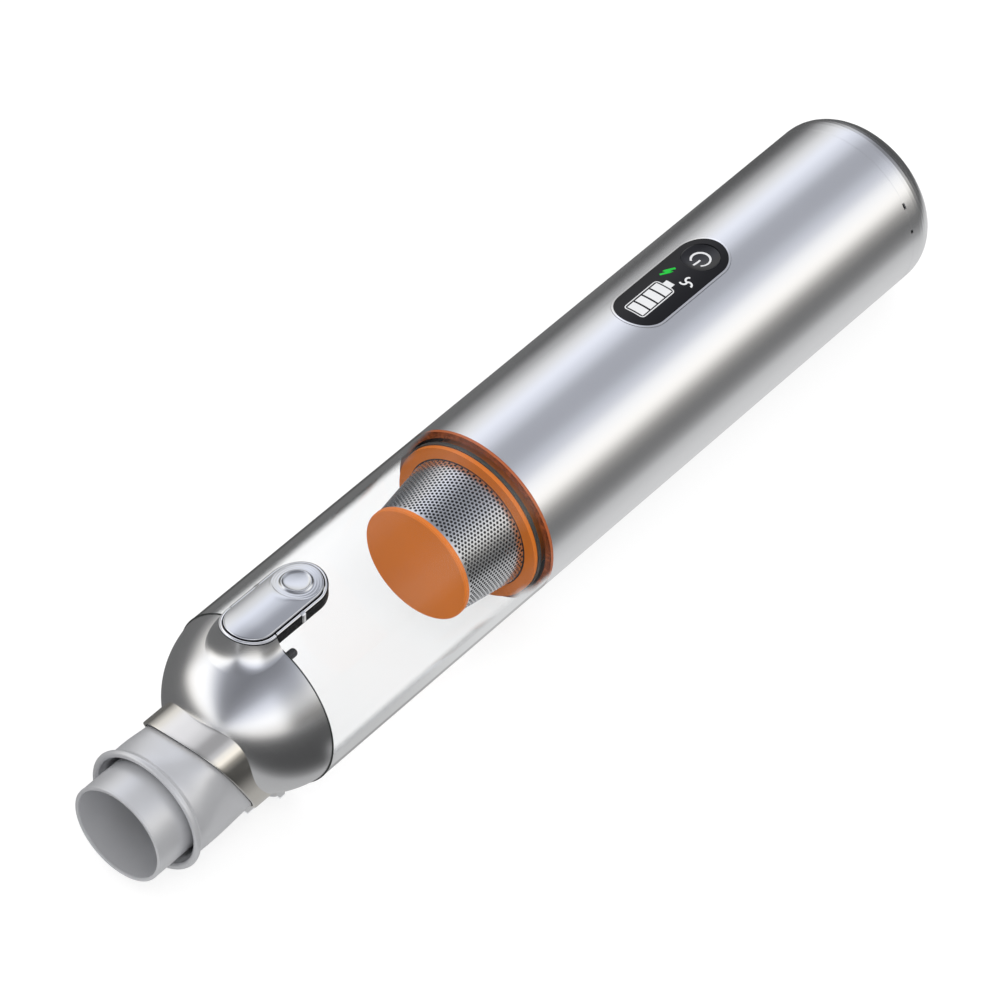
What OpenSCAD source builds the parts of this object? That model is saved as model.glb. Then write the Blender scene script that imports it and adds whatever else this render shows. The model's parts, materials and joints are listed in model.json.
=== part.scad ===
// Cordless handheld vacuum cleaner, lying on its side.
// The axis of the round body runs along X, the nozzle points to -X and the control panel to +Z.
// Modules are drawn with x = 0 at the seam of the dust cup and the body, on the body's axis.
// placed() then moves them so that the origin is under the middle of the object, on the table.

/* [Body] */
// Outer radius of the body, the dust cup and the front cap
body_r = 28; // [26:0.5:32]
// Length of the body tube, from the cup seam to the rear seam
body_len = 170; // [165:1:200]
// Wall of the body tube
body_wall = 2.2; // [1.6:0.1:2.6]
// Length of the rounded rear cap
rear_cap_len = 14.5; // [13:0.5:20]
// Rounding of the rear cap's edge
rear_round = 10.6; // [6:0.2:12]
// Width of the exhaust slots in the rear face
vent_w = 1.6; // [1:0.1:2]

/* [Dust cup] */
// Length of the clear dust cup
cup_len = 94; // [86:1:120]
// Wall of the dust cup
cup_wall = 2.6; // [2:0.1:3.2]
// Length of the tongue that pushes into the body
tongue_len = 8; // [5:0.5:8]

/* [Filter] */
// Width of the filter's flange between the steel mesh and the cup's wall
flange_ledge = 4.4; // [3.4:0.1:5.4]
// How much the radius of the steel mesh shrinks towards its front
mesh_taper = 3; // [1:0.2:6]
// Distance from the seam to the face of the front disc
filter_reach = 26.6; // [22:0.2:40]
// Number of pleats in the inner filter
pleats = 28; // [20:1:36]

/* [Nozzle] */
// How far the nozzle's axis lies below the body's axis
nozzle_drop = 7.3; // [5:0.1:8]
// Outer radius of the inlet tube
tube_r = 15.4; // [14:0.1:15.8]
// Wall of the inlet tube
tube_wall = 1; // [0.8:0.1:1.4]
// Length of the inlet tube's wide mouth
mouth_len = 18; // [12:1:20]
// Gap between the tube's neck and the skirt inside the collar
neck_gap = 1.1; // [0.6:0.1:2]
// Distance from the cap seam to the mouth of the inlet tube
mouth_reach = 57.1; // [54:0.5:70]
// Distance from the cap seam to the lip of the skirt
lip_reach = 46.4; // [44:0.2:50]
// How far the skirt's lip flares out
lip_flare = 1.5; // [1:0.1:2]
// Gap between the tube and the skirt just behind the lip
skirt_gap = 1.2; // [0.8:0.1:2]
// Wall of the skirt
skirt_wall = 1.3; // [1:0.1:1.5]

/* [Front cap] */
// Half width of the collar that holds the skirt
collar_half_w = 16.2; // [15.8:0.1:17]
// Half height of the collar
collar_half_h = 17.75; // [16.5:0.05:18.5]
// Squareness of the collar's outline, where 2 is an ellipse
collar_power = 3.1; // [2.4:0.1:4]
// Distance from the cap seam to the collar's slanted front, on the nozzle's axis
collar_reach = 23.9; // [22:0.1:27]
// Slant of the collar's front
collar_slant = 27.2; // [15:0.2:30]
// Wall of the collar at its front
collar_wall = 1.1; // [0.9:0.1:1.5]
// Wall of the dome
dome_wall = 2; // [1.6:0.1:2.6]

/* [Latch] */
// Length of the pill-shaped latch lever
lever_len = 33.6; // [28:0.2:38]
// Half width of the latch lever
lever_half_w = 7.5; // [6.5:0.1:8]
// How far the lever reaches over the front cap
lever_lead = 8.4; // [7:0.1:10]
// Height of the lever's top above the surface of the cup
lever_rise = 3.4; // [3.2:0.1:4]
// Thickness of the lever's plate
lever_t = 1.4; // [1:0.1:1.6]
// Radius of the lever's cross pin
lever_pin_r = 0.6; // [0.5:0.05:0.65]

/* [Control panel] */
// Distance from the cup seam to the front end of the panel
panel_start = 65.8; // [62:0.2:80]
// Length of the panel
panel_len = 45.1; // [42:0.1:52]
// Half width of the panel with its bezel
panel_half_w = 8.8; // [8.4:0.1:10]
// Width of the bright bezel
bezel_w = 0.6; // [0.4:0.1:1]
// Radius of the power button
button_r = 5.8; // [5:0.1:6]
// Travel of the power button
button_travel = 0.8; // [0.4:0.1:1]

/* [Drive] */
// Radius of the fan wheel
impeller_r = 20; // [16:0.5:21]
// Number of fan blades
blades = 9; // [7:1:13]
// Radius of the motor
motor_r = 14.4; // [12:0.2:16]
// Length of the motor
motor_len = 28; // [24:1:29]
// Radius of the motor shaft
shaft_r = 1.5; // [1:0.1:2]
// Radius of one battery cell
cell_r = 9.2; // [8:0.1:9.6]
// Length of one battery cell
cell_len = 65; // [50:1:70]

/* [Clearances] */
// Gap at the seams between the cap, the cup and the body
seam_gap = 0.25; // [0.15:0.05:0.4]
// Radial clearance of a piece that slides in another
slide_gap = 0.1; // [0.05:0.05:0.2]
// Radial clearance of a pin or shaft in its hole
pin_gap = 0.05; // [0.02:0.01:0.1]
// Clearance beside the lever, the hinge ears and the button
side_gap = 0.25; // [0.15:0.05:0.3]

/* [Hidden] */
$fn = 96;
overshoot = 5;

// Radii inside the shells
bore_r = body_r - body_wall;
cup_bore_r = body_r - cup_wall;

// Seam between the dust cup and the body, with an orange seal ring in it
seal_t = 0.9;
seal_front_x = -seal_t / 2;
tongue_r = bore_r - slide_gap;
tongue_wall = 1.7;
step_t = 1.2;
step_x = seal_front_x - step_t;

// Filter: gasket, flange, neck, mesh cone and front disc
mesh_rear_r = cup_bore_r - flange_ledge;
mesh_front_r = mesh_rear_r - mesh_taper;
neck_ledge = 1.3;
flange_rim = 6;
gasket_t = 1.2;
flange_t = 1.4;
flange_x = step_x - gasket_t;
mesh_x = flange_x - flange_t;
flange_r = cup_bore_r - 0.5;
gasket_r = cup_bore_r - slide_gap;
neck_wall = 1.8;
mesh_t = 0.5;
disc_t = 1.6;
disc_lip = 0.4;
disc_edge = 0.4;
core_gap = 1;
pleat_depth = 3;
core_wall = 2;

// Front cap: an ellipsoid whose middle lies a little behind the seam
cap_x = -cup_len - seam_gap;
dome_mid_x = -cup_len + 4.4;
dome_a = 30.4;
dome_steps = 20;
nozzle_z = -nozzle_drop;
collar_x = -cup_len - collar_reach;
collar_depth = 16;
slant = tan(collar_slant);
mouth_x = -cup_len - mouth_reach;
neck_x = mouth_x + mouth_len + 4;
neck_r = collar_half_w - collar_wall - slide_gap - skirt_wall - neck_gap;
skirt_r = tube_r + skirt_gap + skirt_wall;
lip_r = skirt_r + lip_flare;
lip_x = -cup_len - lip_reach;
skirt_sink = 4;
seat_t = 2;

// Flap that closes the rear end of the inlet tube
flap_seat_x = -cup_len - 9;
flap_t = 1.2;
flap_pin_r = 0.6;
flap_hinge_x = flap_seat_x + 0.3 + flap_t / 2;
flap_hinge_z = nozzle_z + neck_r + 1;
flap_half = 3.9;
flap_ear_start = flap_half + side_gap;
flap_ear_w = 1.6;
flap_ear_r = 1.2;

// Hinge under the front cap
hinge_r = 2.8;
hinge_x = -cup_len - hinge_r - 0.4;
hinge_z = -body_r + hinge_r;
hinge_pin_r = 0.9;
barrel_half = 4.6;
ear_w = 4.4;
cheek_w = 2.6;
ear_start = barrel_half + side_gap;
cheek_start = ear_start + ear_w + side_gap;
hinge_half = cheek_start + cheek_w;
hinge_slot_r = sqrt(2) * (hinge_r + 0.15);
housing_wall = 1.4;
block_len = 2;
block_top = hinge_z + 9.8;
keel_len = 12;
keel_half_w = 9;

// Latch: the lever, its frame on the cup and the pocket in the cap
lever_front = -cup_len - lever_lead;
lever_rear = lever_front + lever_len;
lever_top_r = body_r + lever_rise;
lever_under_r = lever_top_r - lever_t;
pocket_half_w = lever_half_w + side_gap;
rim_w = 1;
rim_half_w = pocket_half_w + rim_w;
rim_top_r = lever_top_r - 0.35;
rim_t = 0.5;
pocket_floor_r = body_r + 0.2;
lever_pin_x = lever_front + 0.57 * lever_len;
lever_pin_z = body_r + lever_rise - 2.8;
lug_start = 5;
lug_w = 1.6;
lug_r = lever_pin_r + 0.6;
dimple_x = lever_rear - lever_half_w;
dimple_r = 3.9;
dimple_depth = 0.5;
dimple_curve_r = 14;
dimple_ring_r = 0.35;
hook_w = 6;
hook_inset = 1.2;
hook_gap = 0.3;
hook_t = 1.2;
spring_wire = 0.36;
spring_turns = 4.5;
spring_pitch = 0.8;
spring_r = lever_pin_r + 0.08 + spring_wire / 2;
leg_len = 3.5;
spring_pocket_z = lever_pin_z - lug_r - 0.3;

// Locating peg on the rim of the cap
peg_r = 1;
peg_angle = 27;
peg_ring_r = cup_bore_r - 1.9;
peg_len = 3.2;
peg_sink = 4;

// Control panel and its electronics
panel_end = panel_start + panel_len;
button_x = panel_end - panel_half_w;
panel_t = 2.4;
bezel_proud = 0.12;
board_w = 16;
board_t = 1.6;
board_start = panel_start + 4.2;
board_end = panel_end - 2.9;
boss_r = 2.2;
boss_inset = 3;
boss_rear_x = button_x - 10.2;
boss_side = 5.4;
boss_spots = [[board_start + boss_inset, 0], [boss_rear_x, boss_side], [boss_rear_x, -boss_side]];
switch_size = 6;
plunger_h = 0.8;
stem_len = 0.15;
stem_gap = 0.15;
guide_len = 13;
guide_w = 10;
flange_lip = 1.1;
button_flange_t = 1.1;
dish_depth = 1.4;
dish_curve_r = 3 * button_r;

// Screws, all of one kind
screw_r = 0.9;
screw_len = 5;
screw_head_r = 1.7;
screw_head_h = 1.2;

// Drive train inside the body
bulkhead_x = tongue_len + 1;
bulkhead_t = 3;
inlet_r = 14;
chassis_wall = 1.5;
chassis_r = bore_r - slide_gap;
chassis_bore_r = chassis_r - chassis_wall;
chassis_x = bulkhead_x + bulkhead_t;
chassis_end = body_len - 12;
shroud_len = 20;
shroud_wall = 1.2;
shroud_r = chassis_bore_r - slide_gap;
impeller_x = chassis_x + shroud_len - 3;
impeller_disc_t = 1.2;
impeller_depth = 12;
impeller_edge = 4;
hub_r = 5;
hub_cone = 6;
hub_foot = 3;
blade_t = 1;
blade_sweep = 50;
blade_lean = 35;
diffuser_x = chassis_x + shroud_len;
diffuser_t = 4;
diffuser_hub_r = 13;
vanes = 11;
motor_x = diffuser_x + diffuser_t;
motor_end = motor_x + motor_len;
rubber_t = 5;
driver_t = 1.6;
holder_x = panel_start + 0.7;
holder_t = 3;
cell_sink = 1;
cell_x = holder_x + holder_t - cell_sink;
cell_end = cell_x + cell_len;
cell_ring_r = cell_r * 2 / sqrt(3) + 0.1;
cell_gap = 0.6;
board_top = cell_ring_r / 2 + cell_r + cell_gap + screw_head_h + board_t;
button_flange_z = sqrt(pow(body_r - panel_t, 2) - pow(button_r + flange_lip, 2)) - 0.15;
stem_z = button_flange_z - button_flange_t - stem_len;
switch_h = stem_z - stem_gap - button_travel - plunger_h - board_top;

// Rear cap, exhaust and charging port
rear_x = body_len + seam_gap;
rear_end = body_len + rear_cap_len;
rear_wall = 2;
spigot_len = 9;
spigot_wall = 1.5;
spigot_foot = 1.5;
port_w = 9;
port_h = 3.2;
port_len = 7.4;
port_face = rear_end - 0.7;
charge_t = 1.6;
charge_x = port_face - port_len - charge_t;
charge_r = 17;
rear_boss_ring = 13.5;
rear_boss_r = 2.3;
// Two small slots in the rear seam, as angle from the top and length
pry_slots = [[58, 2], [76, 1.1]];
pry_w = 0.45;
pry_depth = 0.9;
vent_in_r = 7.5;
vent_out_r = 15.5;
foam_t = 6;
foam_hole_r = 8;
foam_x = rear_x - spigot_len + 1;

// Where the origin lies along the axis
mid_x = (rear_end + mouth_x) / 2;

// Shared shapes

// Moves a piece from the seam frame to the part's own frame
module placed() {
    translate([-mid_x, 0, body_r]) children();
}

// Turns a profile of [radius, x] points about the body's axis
module turned(profile) {
    rotate([0, 90, 0]) rotate_extrude() polygon(profile);
}

// A round rod along X
module rod(r, x0, x1) {
    translate([x0, 0, 0]) rotate([0, 90, 0]) cylinder(r = r, h = x1 - x0);
}

// A tube along X
module pipe(r_out, r_in, x0, x1) {
    turned([[r_in, x0], [r_out, x0], [r_out, x1], [r_in, x1]]);
}

// A round rod along Y
module cross_rod(r, x, z, y0, y1) {
    translate([x, y1, z]) rotate([90, 0, 0]) cylinder(r = r, h = y1 - y0, $fn = 48);
}

// A block between two corners
module block(low, high) {
    translate(low) cube(high - low);
}

// An upright prism with a pill outline
module pill(x0, x1, half_w, z0, z1) {
    translate([0, 0, z0]) linear_extrude(z1 - z0) {
        translate([x0 + half_w, 0]) circle(half_w);
        translate([x1 - half_w, 0]) circle(half_w);
        translate([x0 + half_w, -half_w]) square([x1 - x0 - 2 * half_w, 2 * half_w]);
    }
}

// Points of an outline between a square and an ellipse, from 0 to 360 degrees
function soft_square(a, b, power, steps) = [
    for (i = [0 : steps - 1])
        let (t = 360 * i / steps, c = cos(t), s = sin(t),
             r = pow(pow(abs(c) / a, power) + pow(abs(s) / b, power), -1 / power))
        [r * c, r * s]
];

// Screw along Z with its head at the lower end
module screw_up() {
    cylinder(r = screw_head_r, h = screw_head_h, $fn = 32);
    cylinder(r = screw_r, h = screw_head_h + screw_len, $fn = 32);
}

// Body group

module body_shell() {
    color("silver") placed() difference() {
        pipe(body_r, bore_r, seal_t / 2, body_len - seam_gap);
        pill(panel_start - slide_gap, panel_end + slide_gap, panel_half_w + slide_gap,
             0, body_r + overshoot);
    }
}

// Outline of the rear cap, shrunk by its wall for the inside
function rear_profile(inset) =
    let (edge = rear_round - inset, steps = 12)
    [
        [0, rear_x],
        [body_r - inset, rear_x],
        for (i = [0 : steps])
            let (t = 90 * i / steps)
            [body_r - rear_round + edge * cos(t), rear_end - rear_round + edge * sin(t)],
        [0, rear_end - inset]
    ];

module rear_vents() {
    for (sector = [0 : 2], i = [-2 : 2])
        rotate([sector * 120 + i * 18 + 60, 0, 0])
            block([rear_end - rear_wall - overshoot, -vent_w / 2, vent_in_r],
                  [rear_end + overshoot, vent_w / 2, vent_out_r]);
}

module rear_cap() {
    color("silver") placed() difference() {
        union() {
            difference() {
                turned(rear_profile(0));
                turned(rear_profile(rear_wall));
            }
            pipe(tongue_r, tongue_r - spigot_wall, rear_x - spigot_len, rear_x + spigot_foot);
            pipe(body_r - rear_wall / 2, tongue_r - spigot_wall, rear_x, rear_x + spigot_foot);
            for (sector = [0 : 2]) rotate([sector * 120, 0, 0]) translate([0, 0, rear_boss_ring])
                rod(rear_boss_r, charge_x + charge_t, rear_end - rear_wall + 0.5);
        }
        for (sector = [0 : 2]) rotate([sector * 120, 0, 0]) translate([0, 0, rear_boss_ring])
            rod(screw_r, charge_x, charge_x + charge_t + screw_len);
        rear_vents();
        for (slot = pry_slots) rotate([slot[0], 0, 0])
            block([rear_x - 1, -slot[1] / 2, body_r - pry_depth],
                  [rear_x + pry_w, slot[1] / 2, body_r + 1]);
        port_opening(slide_gap, rear_end + overshoot);
    }
}

// The rounded slot of the charging port, grown by a clearance
module port_opening(grow, x1) {
    h = port_h / 2 + grow;
    for (side = [-1, 1]) translate([0, side * (port_w - port_h) / 2, 0])
        rod(h, charge_x + charge_t, x1);
    block([charge_x + charge_t, -(port_w - port_h) / 2, -h], [x1, (port_w - port_h) / 2, h]);
}

module charge_port() {
    color("lightgray") placed() difference() {
        port_opening(0, port_face);
        translate([charge_t, 0, 0]) port_opening(-0.4, port_face + overshoot);
    }
}

module charge_board() {
    color("darkgreen") placed() difference() {
        rod(charge_r, charge_x, charge_x + charge_t);
        for (sector = [0 : 2]) rotate([sector * 120, 0, 0]) translate([0, 0, rear_boss_ring])
            rod(screw_r, charge_x - 1, charge_x + charge_t + 1);
    }
}

module exhaust_foam() {
    color("dimgray") placed()
        pipe(tongue_r - spigot_wall - slide_gap, foam_hole_r, foam_x, foam_x + foam_t);
}

module panel_bezel() {
    color("gainsboro") placed() intersection() {
        difference() {
            pill(panel_start, panel_end, panel_half_w, 0, body_r + overshoot);
            pill(panel_start + bezel_w, panel_end - bezel_w, panel_half_w - bezel_w,
                 -1, body_r + overshoot + 1);
        }
        pipe(body_r + bezel_proud, bore_r, panel_start - 1, panel_end + 1);
    }
}

module control_panel() {
    inset = bezel_w + slide_gap / 2;
    color([0.13, 0.13, 0.14]) placed() difference() {
        union() {
            intersection() {
                pill(panel_start + inset, panel_end - inset, panel_half_w - inset,
                     0, body_r + overshoot);
                pipe(body_r, body_r - panel_t, panel_start - 1, panel_end + 1);
            }
            intersection() {
                for (spot = boss_spots)
                    translate([spot[0], spot[1], board_top]) cylinder(r = boss_r, h = body_r);
                rod(body_r - panel_t / 2, panel_start, panel_end);
            }
        }
        translate([button_x, 0, 0]) cylinder(r = button_r + slide_gap, h = body_r + overshoot);
        for (spot = boss_spots)
            translate([spot[0], spot[1], board_top - 1])
                cylinder(r = screw_r, h = screw_len, $fn = 32);
    }
}

module power_button() {
    color([0.13, 0.13, 0.14]) placed() difference() {
        union() {
            intersection() {
                translate([button_x, 0, button_flange_z - button_flange_t])
                    cylinder(r = button_r, h = body_r);
                rod(body_r, button_x - 20, button_x + 20);
            }
            translate([button_x, 0, button_flange_z - button_flange_t])
                cylinder(r = button_r + flange_lip, h = button_flange_t);
            translate([button_x, 0, stem_z])
                cylinder(r = 2, h = button_flange_z - stem_z, $fn = 48);
        }
        translate([button_x, 0, body_r - dish_depth + dish_curve_r]) sphere(dish_curve_r);
    }
}

module control_board() {
    color("darkgreen") placed() difference() {
        block([board_start, -board_w / 2, board_top - board_t], [board_end, board_w / 2, board_top]);
        for (spot = boss_spots)
            translate([spot[0], spot[1], board_top - board_t - 1])
                cylinder(r = screw_r, h = board_t + 2, $fn = 32);
    }
}

module button_switch() {
    half = switch_size / 2;
    color("black") placed() {
        block([button_x - half, -half, board_top], [button_x + half, half, board_top + switch_h]);
        translate([button_x, 0, board_top])
            cylinder(r = 1.7, h = switch_h + plunger_h, $fn = 32);
    }
}

module light_guide() {
    start = boss_spots[0][0] + boss_r + 1;
    color("white") placed() intersection() {
        block([start, -guide_w / 2, board_top], [start + guide_len, guide_w / 2, body_r]);
        rod(body_r - panel_t, start - 1, start + guide_len + 1);
    }
}

module screws() {
    color("gray") placed() {
        for (spot = boss_spots)
            translate([spot[0], spot[1], board_top - board_t - screw_head_h]) screw_up();
        for (sector = [0 : 2]) rotate([sector * 120, 0, 0])
            translate([charge_x - screw_head_h, 0, rear_boss_ring]) rotate([0, 90, 0]) screw_up();
    }
}

module cup_seal() {
    color("orangered") placed()
        pipe(body_r - 0.1, bore_r, seal_front_x, seal_t / 2);
}

module bulkhead() {
    color([0.2, 0.2, 0.2]) placed()
        pipe(chassis_r, inlet_r, bulkhead_x, bulkhead_x + bulkhead_t);
}

module chassis() {
    color([0.25, 0.25, 0.26]) placed() difference() {
        pipe(chassis_r, chassis_bore_r, chassis_x, chassis_end);
        block([panel_start - overshoot, -board_w / 2 - 3, 0.3 * body_r],
              [panel_end + overshoot, board_w / 2 + 3, body_r]);
        for (side = [-1, 1])
            block([cell_x + 6, side * body_r / 2 - body_r / 2, -cell_r],
                  [cell_end - 6, side * body_r / 2 + body_r / 2, cell_r / 2]);
    }
}

module fan_shroud() {
    x0 = chassis_x;
    x1 = chassis_x + shroud_len;
    cone_x = x0 + 10;
    color([0.3, 0.3, 0.32]) placed() turned([
        [inlet_r - shroud_wall, x0], [inlet_r + 2, x0], [shroud_r, cone_x], [shroud_r, x1],
        [shroud_r - shroud_wall, x1], [shroud_r - shroud_wall, cone_x + 0.6],
        [inlet_r - shroud_wall, x0 + 2]
    ]);
}

// Plan of one backward-curved blade, from the hub to the rim
function blade_outline(side) = [
    for (i = [0 : 8])
        let (r = hub_r - 1 + (impeller_r - hub_r + 1) * i / 8, t = blade_sweep * i / 8,
             lean = t + blade_lean, half = side * blade_t / 2)
        [r * cos(t) - half * sin(lean), r * sin(t) + half * cos(lean)]
];

module impeller() {
    back = impeller_x;
    eye = back - impeller_depth;
    color("dimgray") placed() difference() {
        union() {
            rod(impeller_r, back, back + impeller_disc_t);
            turned([[0, eye - 1], [hub_r - 2, eye - 1], [hub_r, back - hub_cone],
                    [hub_r + hub_foot, back], [0, back]]);
            intersection() {
                translate([eye, 0, 0]) rotate([0, 90, 0]) linear_extrude(back - eye + 0.2)
                    for (i = [0 : blades - 1]) rotate(360 * i / blades)
                        polygon(concat(blade_outline(-1), [for (j = [8 : -1 : 0]) blade_outline(1)[j]]));
                turned([[0, eye], [inlet_r - 3, eye], [impeller_r, back - impeller_edge],
                        [impeller_r, back + 0.2], [0, back + 0.2]]);
            }
        }
        rod(shaft_r, eye - overshoot, back + overshoot);
    }
}

module motor_shaft() {
    color("lightgray") placed() rod(shaft_r, impeller_x - impeller_depth, motor_end - 4);
}

module diffuser() {
    x1 = diffuser_x + diffuser_t;
    color([0.3, 0.3, 0.32]) placed() difference() {
        union() {
            pipe(shroud_r, shroud_r - shroud_wall, diffuser_x, x1);
            rod(diffuser_hub_r, diffuser_x + 1, x1);
            for (i = [0 : vanes - 1]) rotate([360 * i / vanes, 0, 0])
                translate([(diffuser_x + 1 + x1) / 2, 0, diffuser_hub_r - 0.5])
                    rotate([0, 0, 30])
                        block([-0.6, -1.6, 0], [0.6, 1.6, shroud_r - diffuser_hub_r - 0.1]);
        }
        rod(shaft_r + 0.5, diffuser_x - 1, x1 + 1);
    }
}

module motor() {
    color("silver") placed() difference() {
        rod(motor_r, motor_x, motor_end);
        rod(shaft_r + pin_gap, motor_x - 1, motor_end - 3);
    }
}

module motor_mount() {
    vent_ring = (motor_r + chassis_bore_r) / 2;
    color([0.15, 0.15, 0.15]) placed() difference() {
        pipe(chassis_bore_r - slide_gap, motor_r, motor_end - rubber_t, motor_end);
        for (i = [0 : 7]) rotate([45 * i, 0, 0]) translate([0, 0, vent_ring])
            rod((chassis_bore_r - motor_r) / 2 - 1.6, motor_end - rubber_t - 1, motor_end + 1);
    }
}

module motor_driver() {
    color("darkgreen") placed() rod(motor_r - 0.5, motor_end, motor_end + driver_t);
}

// Three cells side by side in a triangle
module each_cell() {
    for (i = [0 : 2]) rotate([120 * i + 180, 0, 0]) translate([0, 0, cell_ring_r]) children();
}

module battery_cells() {
    color("steelblue") placed() each_cell() {
        rod(cell_r, cell_x, cell_end - 1);
        rod(cell_r * 0.35, cell_end - 1, cell_end);
    }
}

// End plate of the battery with a pocket for each cell
module battery_holder(x0, pocket_x) {
    difference() {
        rod(chassis_bore_r - slide_gap, x0, x0 + holder_t);
        each_cell() rod(cell_r + pin_gap, pocket_x, pocket_x + cell_sink + 1);
        each_cell() rod(cell_r - 2.5, x0 - 1, x0 + holder_t + 1);
        block([x0 - 1, -board_w / 2 - 3, board_top - board_t - 2],
              [x0 + holder_t + 1, board_w / 2 + 3, body_r]);
        for (i = [0 : 2]) rotate([120 * i, 0, 0]) translate([0, 0, chassis_bore_r])
            rod(6, x0 - 1, x0 + holder_t + 1);
    }
}

module battery_holder_front() {
    color([0.9, 0.9, 0.85]) placed() battery_holder(holder_x, cell_x);
}

module battery_holder_rear() {
    color([0.9, 0.9, 0.85]) placed()
        battery_holder(cell_end - 1 - cell_sink, cell_end - 2 - cell_sink);
}

// Dust cup group

module dust_cup() {
    color([0.8, 0.85, 0.9, 0.35]) placed() difference() {
        union() {
            turned([
                [cup_bore_r, -cup_len], [body_r, -cup_len], [body_r, seal_front_x],
                [tongue_r, seal_front_x], [tongue_r, tongue_len],
                [tongue_r - tongue_wall, tongue_len], [tongue_r - tongue_wall, step_x],
                [cup_bore_r, step_x]
            ]);
            for (side = [-1, 1]) hinge_ear(side);
        }
        cross_rod(hinge_pin_r, hinge_x, hinge_z, -hinge_half - 1, hinge_half + 1);
        block([lever_pin_x - lug_r - 0.4, -lug_start - lug_w - 0.3, spring_pocket_z],
              [lever_pin_x + leg_len + 0.4, lug_start + lug_w + 0.3, body_r + 1]);
    }
}

// One of the two ears that carry the cap's hinge pin
module hinge_ear(side) {
    y0 = side > 0 ? ear_start : -ear_start - ear_w;
    cross_rod(hinge_r, hinge_x, hinge_z, y0, y0 + ear_w);
    block([hinge_x, y0, -body_r], [-cup_len + 0.4, y0 + ear_w, hinge_z + 0.8]);
}

module filter_gasket() {
    color([0.25, 0.27, 0.25]) placed()
        pipe(gasket_r, mesh_rear_r + neck_ledge + slide_gap, flange_x, step_x);
}

module filter_flange() {
    collar_r = mesh_rear_r + neck_ledge;
    inner_r = mesh_front_r - flange_rim;
    color([0.85, 0.45, 0.2]) placed() turned([
        [inner_r, mesh_x], [flange_r, mesh_x], [flange_r, flange_x], [collar_r, flange_x],
        [collar_r, tongue_len - 2], [collar_r - neck_wall, tongue_len - 2],
        [collar_r - neck_wall, flange_x], [inner_r, flange_x]
    ]);
}

module filter_mesh() {
    front = -filter_reach + disc_t;
    color([0.6, 0.6, 0.62]) placed() turned([
        [mesh_front_r - mesh_t, front], [mesh_front_r, front],
        [mesh_rear_r, mesh_x], [mesh_rear_r - mesh_t, mesh_x]
    ]);
}

module filter_core() {
    r_out = mesh_front_r - mesh_t - core_gap;
    color([0.85, 0.84, 0.8]) placed() translate([-filter_reach + disc_t, 0, 0])
        rotate([0, 90, 0]) linear_extrude(filter_reach - disc_t + mesh_x) difference() {
            polygon([
                for (i = [0 : 2 * pleats - 1])
                    let (r = i % 2 == 0 ? r_out : r_out - pleat_depth, t = 180 * i / pleats)
                    [r * cos(t), r * sin(t)]
            ]);
            circle(r_out - pleat_depth - core_wall);
        }
}

module filter_disc() {
    edge = mesh_front_r + disc_lip;
    front = -filter_reach;
    color([0.85, 0.45, 0.2]) placed() turned([
        [0, front], [edge - disc_edge, front], [edge, front + disc_edge], [edge, front + disc_t],
        [0, front + disc_t]
    ]);
}

module latch_frame() {
    color([0.08, 0.08, 0.08]) placed() difference() {
        intersection() {
            pill(lever_front - 1, lever_rear + side_gap + rim_w, rim_half_w, 0, 2 * body_r);
            pipe(rim_top_r - rim_t, body_r, -cup_len + 0.2, lever_rear + 5);
        }
        pill(lever_front - 2, lever_rear + side_gap, pocket_half_w, -1, 2 * body_r + 1);
        cross_rod(lever_pin_r, lever_pin_x, lever_pin_z, -body_r, body_r);
    }
}

module latch_rim() {
    color("gainsboro") placed() difference() {
        intersection() {
            pill(lever_front - 1, lever_rear + side_gap + rim_w, rim_half_w, 0, 2 * body_r);
            pipe(rim_top_r, rim_top_r - rim_t, -cup_len + 0.2, lever_rear + 5);
        }
        pill(lever_front - 2, lever_rear + side_gap, pocket_half_w, -1, 2 * body_r + 1);
    }
}

module latch_pin() {
    color("lightgray") placed()
        cross_rod(lever_pin_r, lever_pin_x, lever_pin_z, -rim_half_w, rim_half_w);
}

module latch_lever() {
    color("silver") placed() difference() {
        union() {
            intersection() {
                pill(lever_front, lever_rear, lever_half_w, 0, 2 * body_r);
                pipe(lever_top_r, lever_under_r, lever_front - 1, lever_rear + 1);
            }
            translate([dimple_x, 0, lever_top_r - 0.1]) rotate_extrude($fn = 64)
                translate([dimple_r, 0]) circle(dimple_ring_r, $fn = 24);
            for (side = [-1, 1]) lever_lug(side);
            block([lever_front + hook_inset, -hook_w / 2, pocket_floor_r + hook_gap],
                  [lever_front + hook_inset + hook_t, hook_w / 2, lever_under_r + hook_gap]);
        }
        translate([dimple_x, 0, lever_top_r + dimple_curve_r - dimple_depth]) sphere(dimple_curve_r);
        cross_rod(lever_pin_r + pin_gap, lever_pin_x, lever_pin_z, -body_r, body_r);
    }
}

// One of the two ears under the lever that turn on the cross pin
module lever_lug(side) {
    y0 = side > 0 ? lug_start : -lug_start - lug_w;
    cross_rod(lug_r, lever_pin_x, lever_pin_z, y0, y0 + lug_w);
    block([lever_pin_x - lug_r, y0, lever_pin_z], [lever_pin_x + lug_r, y0 + lug_w, lever_under_r + 0.1]);
}

// One ring of the spring's wire, at an angle round the pin and a distance along X from it
function wire_ring(angle, reach, y, sides) = [
    for (k = [0 : sides - 1])
        let (u = 360 * k / sides, r = spring_r + spring_wire / 2 * cos(u))
        [lever_pin_x + reach + r * cos(angle), y + spring_wire / 2 * sin(u), lever_pin_z + r * sin(angle)]
];

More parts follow.
